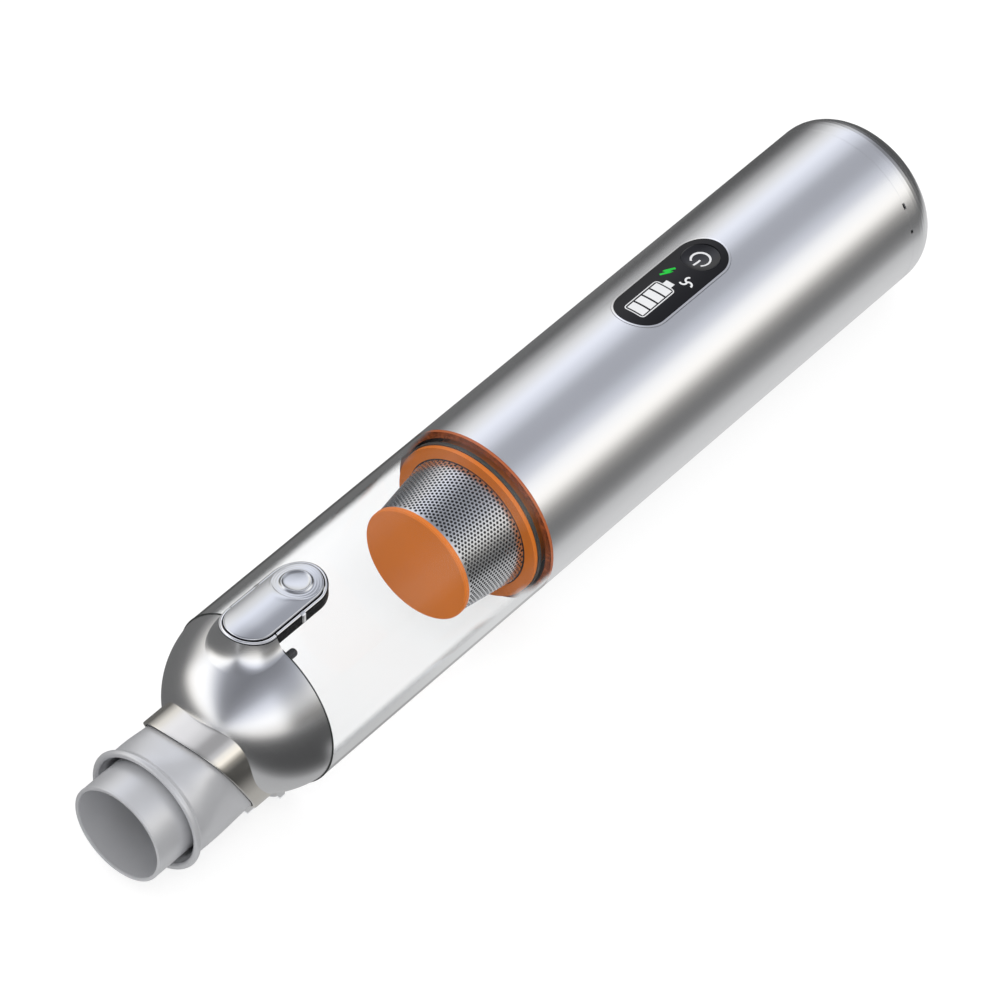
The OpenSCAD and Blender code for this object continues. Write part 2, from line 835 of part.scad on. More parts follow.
// Wire wound round the latch pin, with one leg along the cup and one along the lever
module latch_spring() {
    sides = 6;
    steps = 12;
    count = steps * spring_turns;
    half = spring_turns * spring_pitch / 2;
    rings = concat(
        [wire_ring(-90, leg_len, -half, sides)],
        [
            for (j = [0 : count])
                wire_ring(-90 - 360 * j / steps, 0, -half + spring_pitch * j / steps, sides)
        ],
        [wire_ring(90, leg_len, half, sides)]
    );
    last = (len(rings) - 1) * sides;
    faces = concat(
        [for (k = [1 : sides - 2]) [0, k, k + 1]],
        [
            for (j = [0 : len(rings) - 2], k = [0 : sides - 1])
                let (a = j * sides + k, b = j * sides + (k + 1) % sides)
                each [[a, b + sides, b], [a, a + sides, b + sides]]
        ],
        [for (k = [1 : sides - 2]) [last, last + k + 1, last + k]]
    );
    color("lightgray") placed() polyhedron([for (ring = rings) each ring], faces);
}

// Front cap group

// Outline of the dome, shrunk by a wall for the inside
function dome_profile(inset, x_open) =
    let (a = dome_a - inset, r = body_r - inset,
         t0 = acos((dome_mid_x - x_open) / a))
    [
        [0, x_open],
        for (i = [0 : dome_steps])
            let (t = t0 * (1 - i / dome_steps))
            [r * sin(t), dome_mid_x - a * cos(t)]
    ];

// A prism along X with the collar's outline, shrunk by a wall
module collar_prism(inset, x0, x1) {
    translate([x0, 0, nozzle_z]) rotate([0, 90, 0]) linear_extrude(x1 - x0)
        polygon(soft_square(collar_half_h - inset, collar_half_w - inset, collar_power, 64));
}

// All the space behind the collar's slanted front, moved forward by ahead
module behind_slant(ahead) {
    translate([collar_x - ahead, 0, nozzle_z]) rotate([0, -collar_slant, 0])
        block([0, -2 * body_r, -4 * body_r], [4 * body_r, 2 * body_r, 4 * body_r]);
}

module cap_boss() {
    intersection() {
        pill(lever_front - side_gap - rim_w, -cup_len + 20, rim_half_w, 0, 2 * body_r);
        rod(rim_top_r, lever_front - 5, cap_x);
    }
}

module cap_pocket() {
    difference() {
        pill(lever_front - side_gap, -cup_len + 20, pocket_half_w, 0.5 * body_r, 2 * body_r);
        rod(pocket_floor_r, lever_front - 5, -cup_len + 30);
    }
}

// Wide block round the hinge, and a narrower keel that runs forward under the collar
module hinge_block() {
    block([hinge_x - block_len, -hinge_half, -body_r], [hinge_x, hinge_half, block_top]);
    block([hinge_x - keel_len, -keel_half_w, -body_r], [hinge_x, keel_half_w, block_top]);
}

module hinge_housing() {
    intersection() {
        cross_rod(hinge_slot_r + housing_wall, hinge_x, hinge_z,
                  -hinge_half - housing_wall, hinge_half + housing_wall);
        rod(body_r - dome_wall / 2, hinge_x - 20, cap_x);
    }
}

module hinge_slots() {
    for (side = [-1, 1]) {
        y0 = side > 0 ? ear_start - side_gap : -ear_start - ear_w - side_gap;
        cross_rod(hinge_slot_r, hinge_x, hinge_z, y0, y0 + ear_w + 2 * side_gap);
    }
    difference() {
        block([hinge_x, -hinge_half - 0.4, -body_r - 1], [cap_x + 1, hinge_half + 0.4, hinge_z]);
        cross_rod(hinge_r, hinge_x, hinge_z, -hinge_half, hinge_half);
    }
}

module seal_groove(extra) {
    difference() {
        pipe(body_r - 1, body_r - 1.9, cap_x - 1.2, cap_x + extra);
        block([cap_x - 3, -hinge_half - 3, -2 * body_r], [cap_x + 3, hinge_half + 3, 0]);
    }
}

// Turns a piece to where the locating peg sits on the rim
module at_peg() {
    rotate([peg_angle, 0, 0]) translate([0, 0, peg_ring_r]) children();
}

module front_cap() {
    color("silver") placed() difference() {
        union() {
            difference() {
                union() {
                    turned(dome_profile(0, cap_x));
                    intersection() {
                        collar_prism(0, collar_x - 30, collar_x + collar_depth);
                        behind_slant(0);
                    }
                    cap_boss();
                    hinge_block();
                }
                turned(dome_profile(dome_wall, cap_x + 0.01));
                collar_prism(collar_wall, collar_x - 40, collar_x + collar_depth + 1);
            }
            hinge_housing();
            at_peg() block([cap_x - peg_sink - 1, -peg_r - 0.8, -peg_r - 0.6], [cap_x, peg_r + 0.8, 2.4]);
        }
        cap_pocket();
        hinge_slots();
        seal_groove(1);
        at_peg() rod(peg_r, cap_x - peg_sink, cap_x + 1);
        cross_rod(hinge_pin_r + pin_gap, hinge_x, hinge_z, -body_r, body_r);
    }
}

module cap_seal() {
    color([0.3, 0.3, 0.3]) placed() seal_groove(0.05);
}

module hinge_pin() {
    color("lightgray") placed()
        cross_rod(hinge_pin_r, hinge_x, hinge_z, -hinge_half, hinge_half);
}

module locating_peg() {
    color([0.1, 0.1, 0.1]) placed() at_peg() rod(peg_r, cap_x - peg_sink, cap_x + peg_len);
}

// One ring of the skirt: its place, slant, half width, half height and squareness
function skirt_ring(x, lean, a, b, power, sides) = [
    for (p = soft_square(a, b, power, sides)) [x - lean * p[1], p[0], nozzle_z + p[1]]
];

// Rings of one side of the skirt's wall, from the collar to just behind the lip
function skirt_side(inset, sides, steps) =
    let (w = collar_half_w - collar_wall - slide_gap - inset,
         h = collar_half_h - collar_wall - slide_gap - inset,
         r = skirt_r - inset, x_lip = lip_x + 3.2)
    concat(
        [skirt_ring(collar_x + skirt_sink, slant, w, h, collar_power, sides)],
        [
            for (i = [0 : steps])
                let (s = i / steps, e = s * s * (3 - 2 * s))
                skirt_ring(collar_x * (1 - s) + x_lip * s, slant * (1 - s),
                           w * (1 - e) + r * e, h * (1 - e) + r * e,
                           collar_power * (1 - e) + 2 * e, sides)
        ]
    );

// The rounded lip, as radius and distance from the lip's front
lip_curve = [[-1, 2.2], [-0.35, 1.3], [0, 0.5], [-0.25, 0.1], [-0.7, 0], [-1.5, 0.1], [-1.8, 0.6]];

module nozzle_skirt() {
    sides = 48;
    steps = 7;
    outer = skirt_side(0, sides, steps);
    inner = skirt_side(skirt_wall, sides, steps);
    lip = [for (p = lip_curve) skirt_ring(lip_x + p[1], 0, lip_r + p[0], lip_r + p[0], 2, sides)];
    back = [for (i = [len(inner) - 1 : -1 : 0]) inner[i]];
    rings = concat(outer, lip, back);
    count = len(rings);
    faces = [
        for (j = [0 : count - 1], i = [0 : sides - 1])
            let (a = j * sides + i, b = j * sides + (i + 1) % sides,
                 c = ((j + 1) % count) * sides + (i + 1) % sides, d = ((j + 1) % count) * sides + i)
            each [[a, b, c], [a, c, d]]
    ];
    color([0.69, 0.7, 0.71]) placed() polyhedron([for (ring = rings) each ring], faces);
}

module inlet_tube() {
    wall = tube_wall;
    seat_front = -skirt_sink - 0.2;
    color([0.72, 0.73, 0.74]) placed() difference() {
        union() {
            translate([0, 0, nozzle_z]) turned([
                [tube_r - wall, mouth_x], [tube_r, mouth_x], [tube_r, mouth_x + mouth_len],
                [neck_r, neck_x], [neck_r, flap_seat_x], [neck_r - wall, flap_seat_x],
                [neck_r - wall, neck_x], [tube_r - wall, mouth_x + mouth_len]
            ]);
            difference() {
                intersection() {
                    collar_prism(collar_wall + slide_gap, collar_x - 10, collar_x + collar_depth);
                    behind_slant(seat_front);
                }
                behind_slant(seat_front - seat_t);
                translate([0, 0, nozzle_z]) rod(neck_r - wall / 2, collar_x - 20, collar_x + collar_depth);
            }
            for (side = [-1, 1]) flap_ear(side);
        }
        cross_rod(flap_pin_r, flap_hinge_x, flap_hinge_z, -body_r, body_r);
    }
}

// One of the two ears on the inlet tube that hold the flap's pin
module flap_ear(side) {
    y0 = side > 0 ? flap_ear_start : -flap_ear_start - flap_ear_w;
    y1 = y0 + flap_ear_w;
    cross_rod(flap_ear_r, flap_hinge_x, flap_hinge_z, y0, y1);
    block([flap_seat_x - 0.5, y0, flap_hinge_z - flap_ear_r], [flap_hinge_x, y1, flap_hinge_z + flap_ear_r]);
    block([flap_seat_x - 3, y0, nozzle_z + neck_r - 2], [flap_seat_x, y1, flap_hinge_z + flap_ear_r]);
}

module inlet_flap() {
    x0 = flap_hinge_x - flap_t / 2;
    color([0.35, 0.35, 0.36]) placed() difference() {
        union() {
            translate([0, 0, nozzle_z]) rod(neck_r - 0.2, x0, x0 + flap_t);
            cross_rod(flap_pin_r + 0.5, flap_hinge_x, flap_hinge_z, -flap_half, flap_half);
            block([x0, -flap_half, nozzle_z + neck_r / 2], [x0 + flap_t, flap_half, flap_hinge_z]);
        }
        cross_rod(flap_pin_r + pin_gap, flap_hinge_x, flap_hinge_z, -body_r, body_r);
    }
}

module flap_pin() {
    end = flap_ear_start + flap_ear_w;
    color("lightgray") placed() cross_rod(flap_pin_r, flap_hinge_x, flap_hinge_z, -end, end);
}

body_shell();
rear_cap();
panel_bezel();
control_panel();
power_button();
control_board();
button_switch();
light_guide();
screws();
cup_seal();
bulkhead();
chassis();
fan_shroud();
impeller();
motor_shaft();
diffuser();
motor();
motor_mount();
motor_driver();
battery_holder_front();
battery_cells();
battery_holder_rear();
exhaust_foam();
charge_board();
charge_port();
dust_cup();
filter_gasket();
filter_flange();
filter_mesh();
filter_core();
filter_disc();
latch_frame();
latch_rim();
latch_pin();
latch_lever();
latch_spring();
front_cap();
cap_seal();
hinge_pin();
locating_peg();
nozzle_skirt();
inlet_tube();
inlet_flap();
flap_pin();
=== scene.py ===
"""Cordless handheld vacuum cleaner: finishes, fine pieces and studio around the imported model.

Points are written in millimetres in the seam frame of the source: x = 0 at the seam of the
dust cup and the body, on the body's axis, with the nozzle towards -X and the panel towards +Z.
"""
import json
import math

import bmesh
import bpy
from mathutils import Matrix, Vector


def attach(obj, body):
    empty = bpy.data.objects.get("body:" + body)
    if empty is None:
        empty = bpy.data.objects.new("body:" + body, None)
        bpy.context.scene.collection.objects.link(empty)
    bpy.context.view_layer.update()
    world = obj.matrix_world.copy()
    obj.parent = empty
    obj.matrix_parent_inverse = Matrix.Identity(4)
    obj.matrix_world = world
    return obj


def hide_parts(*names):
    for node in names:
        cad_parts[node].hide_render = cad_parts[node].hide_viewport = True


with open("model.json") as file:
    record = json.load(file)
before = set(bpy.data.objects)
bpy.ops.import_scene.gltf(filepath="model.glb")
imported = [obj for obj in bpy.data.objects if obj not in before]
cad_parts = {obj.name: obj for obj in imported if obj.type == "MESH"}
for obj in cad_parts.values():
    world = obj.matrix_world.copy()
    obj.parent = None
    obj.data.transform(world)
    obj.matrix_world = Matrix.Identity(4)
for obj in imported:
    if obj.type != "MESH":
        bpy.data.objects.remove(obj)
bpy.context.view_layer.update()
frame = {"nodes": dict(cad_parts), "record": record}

MM = 0.001
MID_X = 16.7
BODY_R = 28.0
AXIS_Z = BODY_R


def at(x, y, z):
    """A point of the seam frame in metres of the part's own frame."""
    return Vector(((x - MID_X) * MM, y * MM, (z + AXIS_Z) * MM))


# Camera

CAMERA_LENS = 200.6
CAMERA_SENSOR = 36.0
CAMERA_AZIMUTH = -50.415
CAMERA_ELEVATION = 43.955
CAMERA_REACH = 1581.8
CAMERA_SIDE = 6.955
CAMERA_LIFT = 3.934


def make_camera():
    azimuth = math.radians(CAMERA_AZIMUTH)
    elevation = math.radians(CAMERA_ELEVATION)
    back = Vector((math.sin(azimuth) * math.cos(elevation),
                   -math.cos(azimuth) * math.cos(elevation),
                   math.sin(elevation)))
    right = Vector((math.cos(azimuth), math.sin(azimuth), 0.0))
    up = back.cross(right)
    lens = bpy.data.cameras.new("camera")
    lens.lens = CAMERA_LENS
    lens.sensor_width = CAMERA_SENSOR
    lens.clip_start = 0.05
    lens.clip_end = 50.0
    camera = bpy.data.objects.new("camera", lens)
    spot = back * CAMERA_REACH + right * CAMERA_SIDE + up * CAMERA_LIFT
    turn = Matrix((right, up, back)).transposed().to_4x4()
    camera.matrix_world = Matrix.Translation(at(*spot)) @ turn
    bpy.context.scene.collection.objects.link(camera)
    bpy.context.scene.camera = camera


# Shader maths

class Value:
    """What a node gives, so that shader maths reads as plain expressions."""

    def __init__(self, graph, socket):
        self.graph = graph
        self.socket = socket

    def maths(self, operation, *others):
        inputs = dict(enumerate((self,) + others))
        return self.graph.node("ShaderNodeMath", {"operation": operation}, inputs)

    def __add__(self, other):
        return self.maths("ADD", other)

    def __sub__(self, other):
        return self.maths("SUBTRACT", other)

    def __mul__(self, other):
        return self.maths("MULTIPLY", other)

    def __truediv__(self, other):
        return self.maths("DIVIDE", other)

    def __pow__(self, other):
        return self.maths("POWER", other)

    __radd__ = __add__


class Finish:
    """The node graph of one material or of the world."""

    def __init__(self, name, owner=None):
        self.owner = owner or bpy.data.materials.new(name)
        self.owner.use_nodes = True
        self.tree = self.owner.node_tree
        self.tree.nodes.clear()

    def node(self, kind, settings=None, inputs=None, output=0):
        """Adds a node, sets its settings and then its sockets, and returns one output."""
        made = self.tree.nodes.new(kind)
        for key, setting in (settings or {}).items():
            if key == "stops":
                self.set_stops(made.color_ramp, setting)
            elif key == "interpolation":
                made.color_ramp.interpolation = setting
            else:
                setattr(made, key, setting)
        for key, given in (inputs or {}).items():
            if isinstance(given, Value):
                self.tree.links.new(given.socket, made.inputs[key])
            else:
                made.inputs[key].default_value = given
        return Value(self, made.outputs[output]) if made.outputs else None

    @staticmethod
    def set_stops(ramp, stops):
        while len(ramp.elements) < len(stops):
            ramp.elements.new(1.0)
        for element, (place, colour) in zip(ramp.elements, stops):
            element.position = place
            element.color = (*colour, 1.0)

    @staticmethod
    def colour(given):
        """A node's colour as it is, or a colour of three numbers made opaque."""
        return given if isinstance(given, Value) else (*given, 1.0)

    def place(self):
        """Object coordinates, in metres of the part's own frame."""
        return self.node("ShaderNodeTexCoord", output=3)

    def coordinate(self, axis):
        """One object coordinate: 0 for x, 1 for y and 2 for z."""
        return self.node("ShaderNodeSeparateXYZ", {}, {0: self.place()}, output=axis)

    def grain(self, size, detail=2.0, roughness=0.5, stretch=(1.0, 1.0, 1.0)):
        """Noise between 0 and 1, with a feature size in millimetres."""
        spot = self.node("ShaderNodeMapping", {}, {"Vector": self.place(), "Scale": stretch})
        return self.node("ShaderNodeTexNoise", {},
                         {"Vector": spot, "Scale": 1.0 / (size * MM), "Detail": detail,
                          "Roughness": roughness})

    def mixed(self, factor, low, high):
        """A colour between two colours."""
        return self.node("ShaderNodeMix", {"data_type": "RGBA"},
                         {0: factor, 6: self.colour(low), 7: self.colour(high)}, output=2)

    def eased(self, value, low, high):
        """A smooth step from 0 to 1 between two values."""
        return self.node("ShaderNodeMapRange", {"interpolation_type": "SMOOTHSTEP"},
                         {"Value": value, "From Min": low, "From Max": high})

    def wall_depth(self, inner, outer):
        """0 inside and 1 outside a round wall, between two radii in millimetres."""
        y = self.coordinate(1)
        z = self.coordinate(2) - AXIS_Z * MM
        return self.eased((y * y + z * z) ** 0.5, inner * MM, outer * MM)

    def bump(self, height, strength, distance):
        """A bump normal, with its distance in millimetres."""
        return self.node("ShaderNodeBump", {},
                         {"Height": height, "Strength": strength, "Distance": distance * MM})

    def surface(self, inputs):
        return self.node("ShaderNodeBsdfPrincipled", {}, inputs)

    def finish(self, shader):
        in_world = isinstance(self.owner, bpy.types.World)
        kind = "ShaderNodeOutputWorld" if in_world else "ShaderNodeOutputMaterial"
        self.node(kind, {}, {"Surface": shader})
        return self.owner


# Finishes of the object

METAL_GRAIN = 0.35
PLASTIC_GRAIN = 0.3
FLAKE_SIZE = 0.25
PAPER_FIBRE = 0.4
FOAM_CELLS = 900.0
BOARD_TRACKS = 220.0

CUP_WALL = (26.4, 27.2)
CUP_SEAM_FROM = -15.0
CUP_SEAM_TO = -5.0
CUP_SEAM_SHIFT = 0.13
CUP_MIRROR = (0.53, 0.69)
# Facing range of the painted shade line along the cup's very edge
CUP_PAINTED_SHADE_LINE = (0.79, 0.89)
CUP_GLOSS = 0.035

# Colour and roughness, then the texture where it isn't a metal's usual one
SILVER = (0.84, 0.845, 0.86)
METALS = {
    "silver_shell": (SILVER, 0.24),
    "dome_metal": (SILVER, 0.25),
    "collar_metal": ((0.82, 0.79, 0.735), 0.18),
    # The lever's silver is a darker copy of the shell's: its darker colour is painted shade
    "lever_metal": ((0.75, 0.76, 0.78), 0.20),
    "bright_trim": ((0.93, 0.93, 0.94), 0.14),
    "steel": ((0.60, 0.60, 0.61), 0.32, 0.08),
    "port_steel": ((0.62, 0.62, 0.64), 0.30, 0.08),
    "perforated_steel": ((0.76, 0.765, 0.78), 0.24, 0.05),
}

# Colour and roughness, then texture and gloss level where they aren't a plastic's usual ones
PLASTICS = {
    "black_gloss": ((0.007, 0.007, 0.009), 0.34, 0.05, 0.22),
    "button_gloss": ((0.005, 0.005, 0.007), 0.16, 0.03, 0.55),
    "black_plastic": ((0.005, 0.005, 0.006), 0.5, 0.1, 0.22),
    "peg_plastic": ((0.022, 0.022, 0.024), 0.45),
    "orange_plastic": ((0.73, 0.185, 0.011), 0.40, 0.05, 0.22),
    "orange_seal": ((0.46, 0.105, 0.020), 0.5, 0.1, 0.3),
    "dark_rubber": ((0.045, 0.05, 0.047), 0.6, 0.2),
    "inner_plastic": ((0.05, 0.05, 0.053), 0.5),
    "cell_sleeve": ((0.02, 0.10, 0.30), 0.3, 0.05),
    "white_plastic": ((0.75, 0.75, 0.74), 0.45),
    "white_mark": ((0.74, 0.745, 0.76), 0.4, 0.1, 0.2),
    "green_mark": ((0.010, 0.52, 0.045), 0.4, 0.1, 0.15),
}


def shaded(colour, factor):
    return tuple(channel * factor for channel in colour)


def metal(name, colour, roughness, texture=0.03):
    """Smooth metal with a fine satin texture and faint uneven gloss."""
    look = Finish(name)
    cloud = look.grain(18.0, 3.0)
    speck = look.grain(METAL_GRAIN)
    tone = look.mixed(cloud, shaded(colour, 0.985), shaded(colour, 1.015))
    gloss = roughness - 0.02 + cloud * 0.03 + speck * 0.02
    shader = look.surface({"Base Color": tone, "Metallic": 1.0, "Roughness": gloss,
                           "Normal": look.bump(speck, texture, 0.01)})
    return look.finish(shader)


def plastic(name, colour, roughness, texture=0.1, gloss_level=0.5):
    """Moulded plastic with a fine grain and slight changes of tone."""
    look = Finish(name)
    cloud = look.grain(14.0, 3.0)
    speck = look.grain(PLASTIC_GRAIN)
    tone = look.mixed(cloud, shaded(colour, 0.96), shaded(colour, 1.04))
    gloss = roughness - 0.03 + cloud * 0.04 + speck * 0.02
    shader = look.surface({"Base Color": tone, "Roughness": gloss,
                           "Specular IOR Level": gloss_level,
                           "Normal": look.bump(speck, texture, 0.02)})
    return look.finish(shader)


def satin_plastic(name, colour, roughness):
    """Grey plastic with metal flakes in it, as soft and even as satin."""
    look = Finish(name)
    cloud = look.grain(16.0, 3.0)
    speck = look.grain(FLAKE_SIZE)
    tone = look.mixed(cloud, shaded(colour, 0.97), shaded(colour, 1.03))
    shader = look.surface({"Base Color": tone, "Metallic": 0.4 + speck * 0.06,
                           "Roughness": roughness - 0.02 + cloud * 0.04,
                           "Normal": look.bump(speck, 0.05, 0.02)})
    return look.finish(shader)


def clear_plastic():
    """Clear cup: faint gloss face on, and as a mirror where its thick wall turns away; a dark line
    of painted shade runs along its very edge.
    """
    look = Finish("clear_cup")
    facing = look.node("ShaderNodeLayerWeight", {}, {"Blend": 0.5}, output=1)
    haze = look.grain(25.0)
    outside = look.wall_depth(*CUP_WALL)
    at_seam = look.eased(look.coordinate(0), (CUP_SEAM_FROM - MID_X) * MM,
                         (CUP_SEAM_TO - MID_X) * MM)
    turned = look.eased(facing - at_seam * CUP_SEAM_SHIFT, *CUP_MIRROR)
    # Painted shade: a band at the cup's very edge, which also raises the mirror share there
    painted_shade_line = look.eased(facing, *CUP_PAINTED_SHADE_LINE)
    wall = turned.maths("MAXIMUM", painted_shade_line * 0.8)
    share = (wall * 0.955 + CUP_GLOSS) * outside + haze * 0.005
    clear = look.node("ShaderNodeBsdfTransparent", {}, {"Color": (0.992, 0.994, 0.995, 1.0)})
    # Painted shade: the mirror's colour turns dark along that edge band
    tone = look.mixed(painted_shade_line, (0.95, 0.96, 0.97), (0.20, 0.21, 0.21))
    mirror = look.surface({"Base Color": tone, "Metallic": 1.0,
                           "Roughness": 0.06 + haze * 0.04})
    return look.finish(look.node("ShaderNodeMixShader", {}, {0: share, 1: clear, 2: mirror}))


def woven_paper():
    look = Finish("filter_paper")
    fibre = look.grain(PAPER_FIBRE, 4.0, 0.7, (1.0, 1.0, 0.3))
    tone = look.mixed(fibre, (0.007, 0.007, 0.008), (0.016, 0.016, 0.017))
    shader = look.surface({"Base Color": tone, "Roughness": 0.9,
                           "Normal": look.bump(fibre, 0.4, 0.06)})
    return look.finish(shader)


def open_foam():
    look = Finish("foam")
    cell = look.node("ShaderNodeTexVoronoi", {}, {"Vector": look.place(), "Scale": FOAM_CELLS})
    tone = look.mixed(cell, (0.02, 0.02, 0.02), (0.09, 0.09, 0.09))
    shader = look.surface({"Base Color": tone, "Roughness": 0.95,
                           "Normal": look.bump(cell, 0.8, 0.3)})
    return look.finish(shader)


def coated_board():
    look = Finish("circuit_board")
    track = look.node("ShaderNodeTexBrick", {},
                      {"Vector": look.place(), "Scale": BOARD_TRACKS, "Mortar Size": 0.03,
                       "Color1": (0.010, 0.090, 0.030, 1.0),
                       "Color2": (0.012, 0.110, 0.036, 1.0),
                       "Mortar": (0.020, 0.150, 0.050, 1.0)})
    shader = look.surface({"Base Color": track, "Roughness": 0.35 + look.grain(2.0) * 0.1})
    return look.finish(shader)


def make_finishes():
    made = {name: metal(name, *look) for name, look in METALS.items()}
    made.update((name, plastic(name, *look)) for name, look in PLASTICS.items())
    made["grey_plastic"] = satin_plastic("grey_plastic", (0.60, 0.605, 0.625), 0.31)
    made["clear_cup"] = clear_plastic()
    made["filter_paper"] = woven_paper()
    made["foam"] = open_foam()
    made["circuit_board"] = coated_board()
    return made


NODE_FINISH = {"power_button": "button_gloss"}


def dress_nodes(finishes):
    """Gives each CAD node the finish of its material slot, or its own."""
    for subpart in frame["record"]["subparts"]:
        mesh = frame["nodes"][subpart["node"]].data
        if not mesh.materials:
            mesh.materials.append(None)
        name = NODE_FINISH.get(subpart["node"], subpart["material_slot"])
        for index in range(len(mesh.materials)):
            mesh.materials[index] = finishes[name]


# Helpers for the fine pieces

SKIN = 0.06
WELD = 0.002
SHARP_ANGLE = 42.0


def piece(name, body, points, faces, material, replaced=()):
    """A smooth piece that rides on a body; its points are in the seam frame."""
    mesh = bpy.data.meshes.new(name)
    mesh.from_pydata([at(*point) for point in points], [], faces)
    mesh.materials.append(material)
    graph = bmesh.new()
    graph.from_mesh(mesh)
    bmesh.ops.remove_doubles(graph, verts=graph.verts, dist=WELD * MM)
    bmesh.ops.recalc_face_normals(graph, faces=graph.faces)
    graph.to_mesh(mesh)
    graph.free()
    mesh.shade_smooth()
    mesh.set_sharp_from_angle(angle=math.radians(SHARP_ANGLE))
    made = bpy.data.objects.new(name, mesh)
    bpy.context.scene.collection.objects.link(made)
    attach(made, body)
    if replaced:
        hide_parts(*replaced)


def loft(rings, around=True, along=False):
    """Points and faces of a surface through rings of equal length."""
    count = len(rings[0])
    faces = []
    for row in range(len(rings) - (0 if along else 1)):
        this, after = row * count, (row + 1) % len(rings) * count
        for index in range(count if around else count - 1):
            beside = (index + 1) % count
            faces.append((this + index, this + beside, after + beside, after + index))
    return [point for ring in rings for point in ring], faces


def capped(rings):
    """A loft through rings, closed by a face at each end."""
    points, faces = loft(rings)
    count = len(rings[0])
    return points, faces + [tuple(range(count)), tuple(range(len(points) - count, len(points)))]


def joined(shapes):
    """The points and faces of several shapes as one."""
    points, faces = [], []
    for more_points, more_faces in shapes:
        faces += [tuple(len(points) + index for index in face) for face in more_faces]
        points += more_points
    return points, faces


def smoothed(share):
    return share * share * (3.0 - 2.0 * share)


def between(low, high, share):
    return low + (high - low) * share


def turns(sides):
    """Equal turns round a full circle, in radians."""
    return [2.0 * math.pi * index / sides for index in range(sides)]


def about_axis(x, turn, radius):
    """A point round the body's axis: the turn is 0 on top and grows towards +Y."""
    return (x, radius * math.sin(turn), radius * math.cos(turn))


def round_ring(x, radius, sides=180):
    return [about_axis(x, turn, radius) for turn in turns(sides)]


def on_round(x, y, radius):
    """The point above (x, y) on a cylinder about the body's axis."""
    return (x, y, math.sqrt(radius * radius - y * y))


def bezier(ends, pulls, steps):
    """Points along a cubic curve from one end to the other."""
    first, last = (Vector(end) for end in ends)
    near, far = (Vector(pull) for pull in pulls)
    curve = []
    for step in range(steps + 1):
        share = step / steps
        rest = 1.0 - share
        curve.append(first * rest ** 3 + near * (3 * rest * rest * share)
                     + far * (3 * rest * share * share) + last * share ** 3)
    return curve


def arc(centre, radius, start, end, steps):
    """Points of an arc in a plane, with angles in degrees."""
    return [(centre[0] + radius * math.cos(math.radians(between(start, end, step / steps))),
             centre[1] + radius * math.sin(math.radians(between(start, end, step / steps))))
            for step in range(steps + 1)]


# Nozzle: collar, skirt and tube

NOZZLE_Z = -7.3
COLLAR_X = -117.9
COLLAR_W = 16.2
COLLAR_H = 17.75
COLLAR_POWER = 3.1
COLLAR_SLANT = math.tan(math.radians(27.2))
COLLAR_DEPTH = 14.0
COLLAR_EDGE = 0.3
COLLAR_WALL = 1.12
COLLAR_SHADE_INSET = 1.23

ROUND_POWER = 2.0
SKIRT_INSET = 1.2
SKIRT_W = COLLAR_W - SKIRT_INSET
SKIRT_H = COLLAR_H - SKIRT_INSET
SKIRT_R = 17.9
SKIRT_WALL = 1.3
SKIRT_ROOT = 4.0
SKIRT_STEPS = 28
LIP_X = -140.4
LIP_R = 19.4
LIP_SECTION = 1.05
FLARE_X = LIP_X + 3.2

MOUTH_X = -150.65
MOUTH_R = 14.9
MOUTH_SECTION = 0.56


def soft_ring(x, lean, half_w, half_h, power, sides=192):
    """A ring across the nozzle, between an ellipse and a rectangle, on a slanted plane."""
    ring = []
    for angle in turns(sides):
        cosine, sine = math.cos(angle), math.sin(angle)
        radius = (abs(cosine / half_w) ** power + abs(sine / half_h) ** power) ** (-1.0 / power)
        ring.append((x - lean * radius * sine, radius * cosine, NOZZLE_Z + radius * sine))
    return ring


def collar_ring(x, grow):
    return soft_ring(x, COLLAR_SLANT, COLLAR_W + grow, COLLAR_H + grow, COLLAR_POWER)


def tube_ring(x, radius, sides=192):
    return soft_ring(x, 0.0, radius, radius, ROUND_POWER, sides)


def make_collar(finishes):
    """The collar's smooth skin, rounded at its slanted front, and a black strip of painted shade
    in the joint inside it.
    """
    steps = 12
    rings = [collar_ring(between(COLLAR_X + COLLAR_DEPTH, COLLAR_X + COLLAR_EDGE, step / steps),
                         SKIN) for step in range(steps + 1)]
    for angle in range(0, 91, 15):
        turn = math.radians(angle)
        rings.append(collar_ring(
            COLLAR_X + COLLAR_EDGE - (COLLAR_EDGE + SKIN) * math.sin(turn),
            SKIN - COLLAR_EDGE + COLLAR_EDGE * math.cos(turn)))
    for depth, inset in ((-SKIN, 1.0), (0.1, COLLAR_WALL), (2.0, COLLAR_WALL)):
        rings.append(collar_ring(COLLAR_X + depth, -inset))
    points, faces = loft(rings)
    piece("collar_skin", "cap", points, faces, finishes["collar_metal"])
    # Painted shade: a black ring stands for the shade in the joint of the collar and the skirt
    points, faces = loft([collar_ring(COLLAR_X + depth, -inset) for depth, inset in
                          ((-0.1, 0.80), (-0.1, COLLAR_SHADE_INSET), (1.4, COLLAR_SHADE_INSET))])
    piece("collar_gap_shade", "cap", points, faces, finishes["black_plastic"])


def skirt_side(inset):
    """Rings from the collar to just behind the lip, going from soft square to round."""
    rings = [soft_ring(COLLAR_X + SKIRT_ROOT, COLLAR_SLANT, SKIRT_W - inset, SKIRT_H - inset,
                       COLLAR_POWER)]
    for step in range(SKIRT_STEPS + 1):
        share = step / SKIRT_STEPS
        ease = smoothed(share)
        rings.append(soft_ring(
            between(COLLAR_X, FLARE_X, share), COLLAR_SLANT * (1.0 - share),
            between(SKIRT_W, SKIRT_R, ease) - inset, between(SKIRT_H, SKIRT_R, ease) - inset,
            between(COLLAR_POWER, ROUND_POWER, ease)))
    return rings


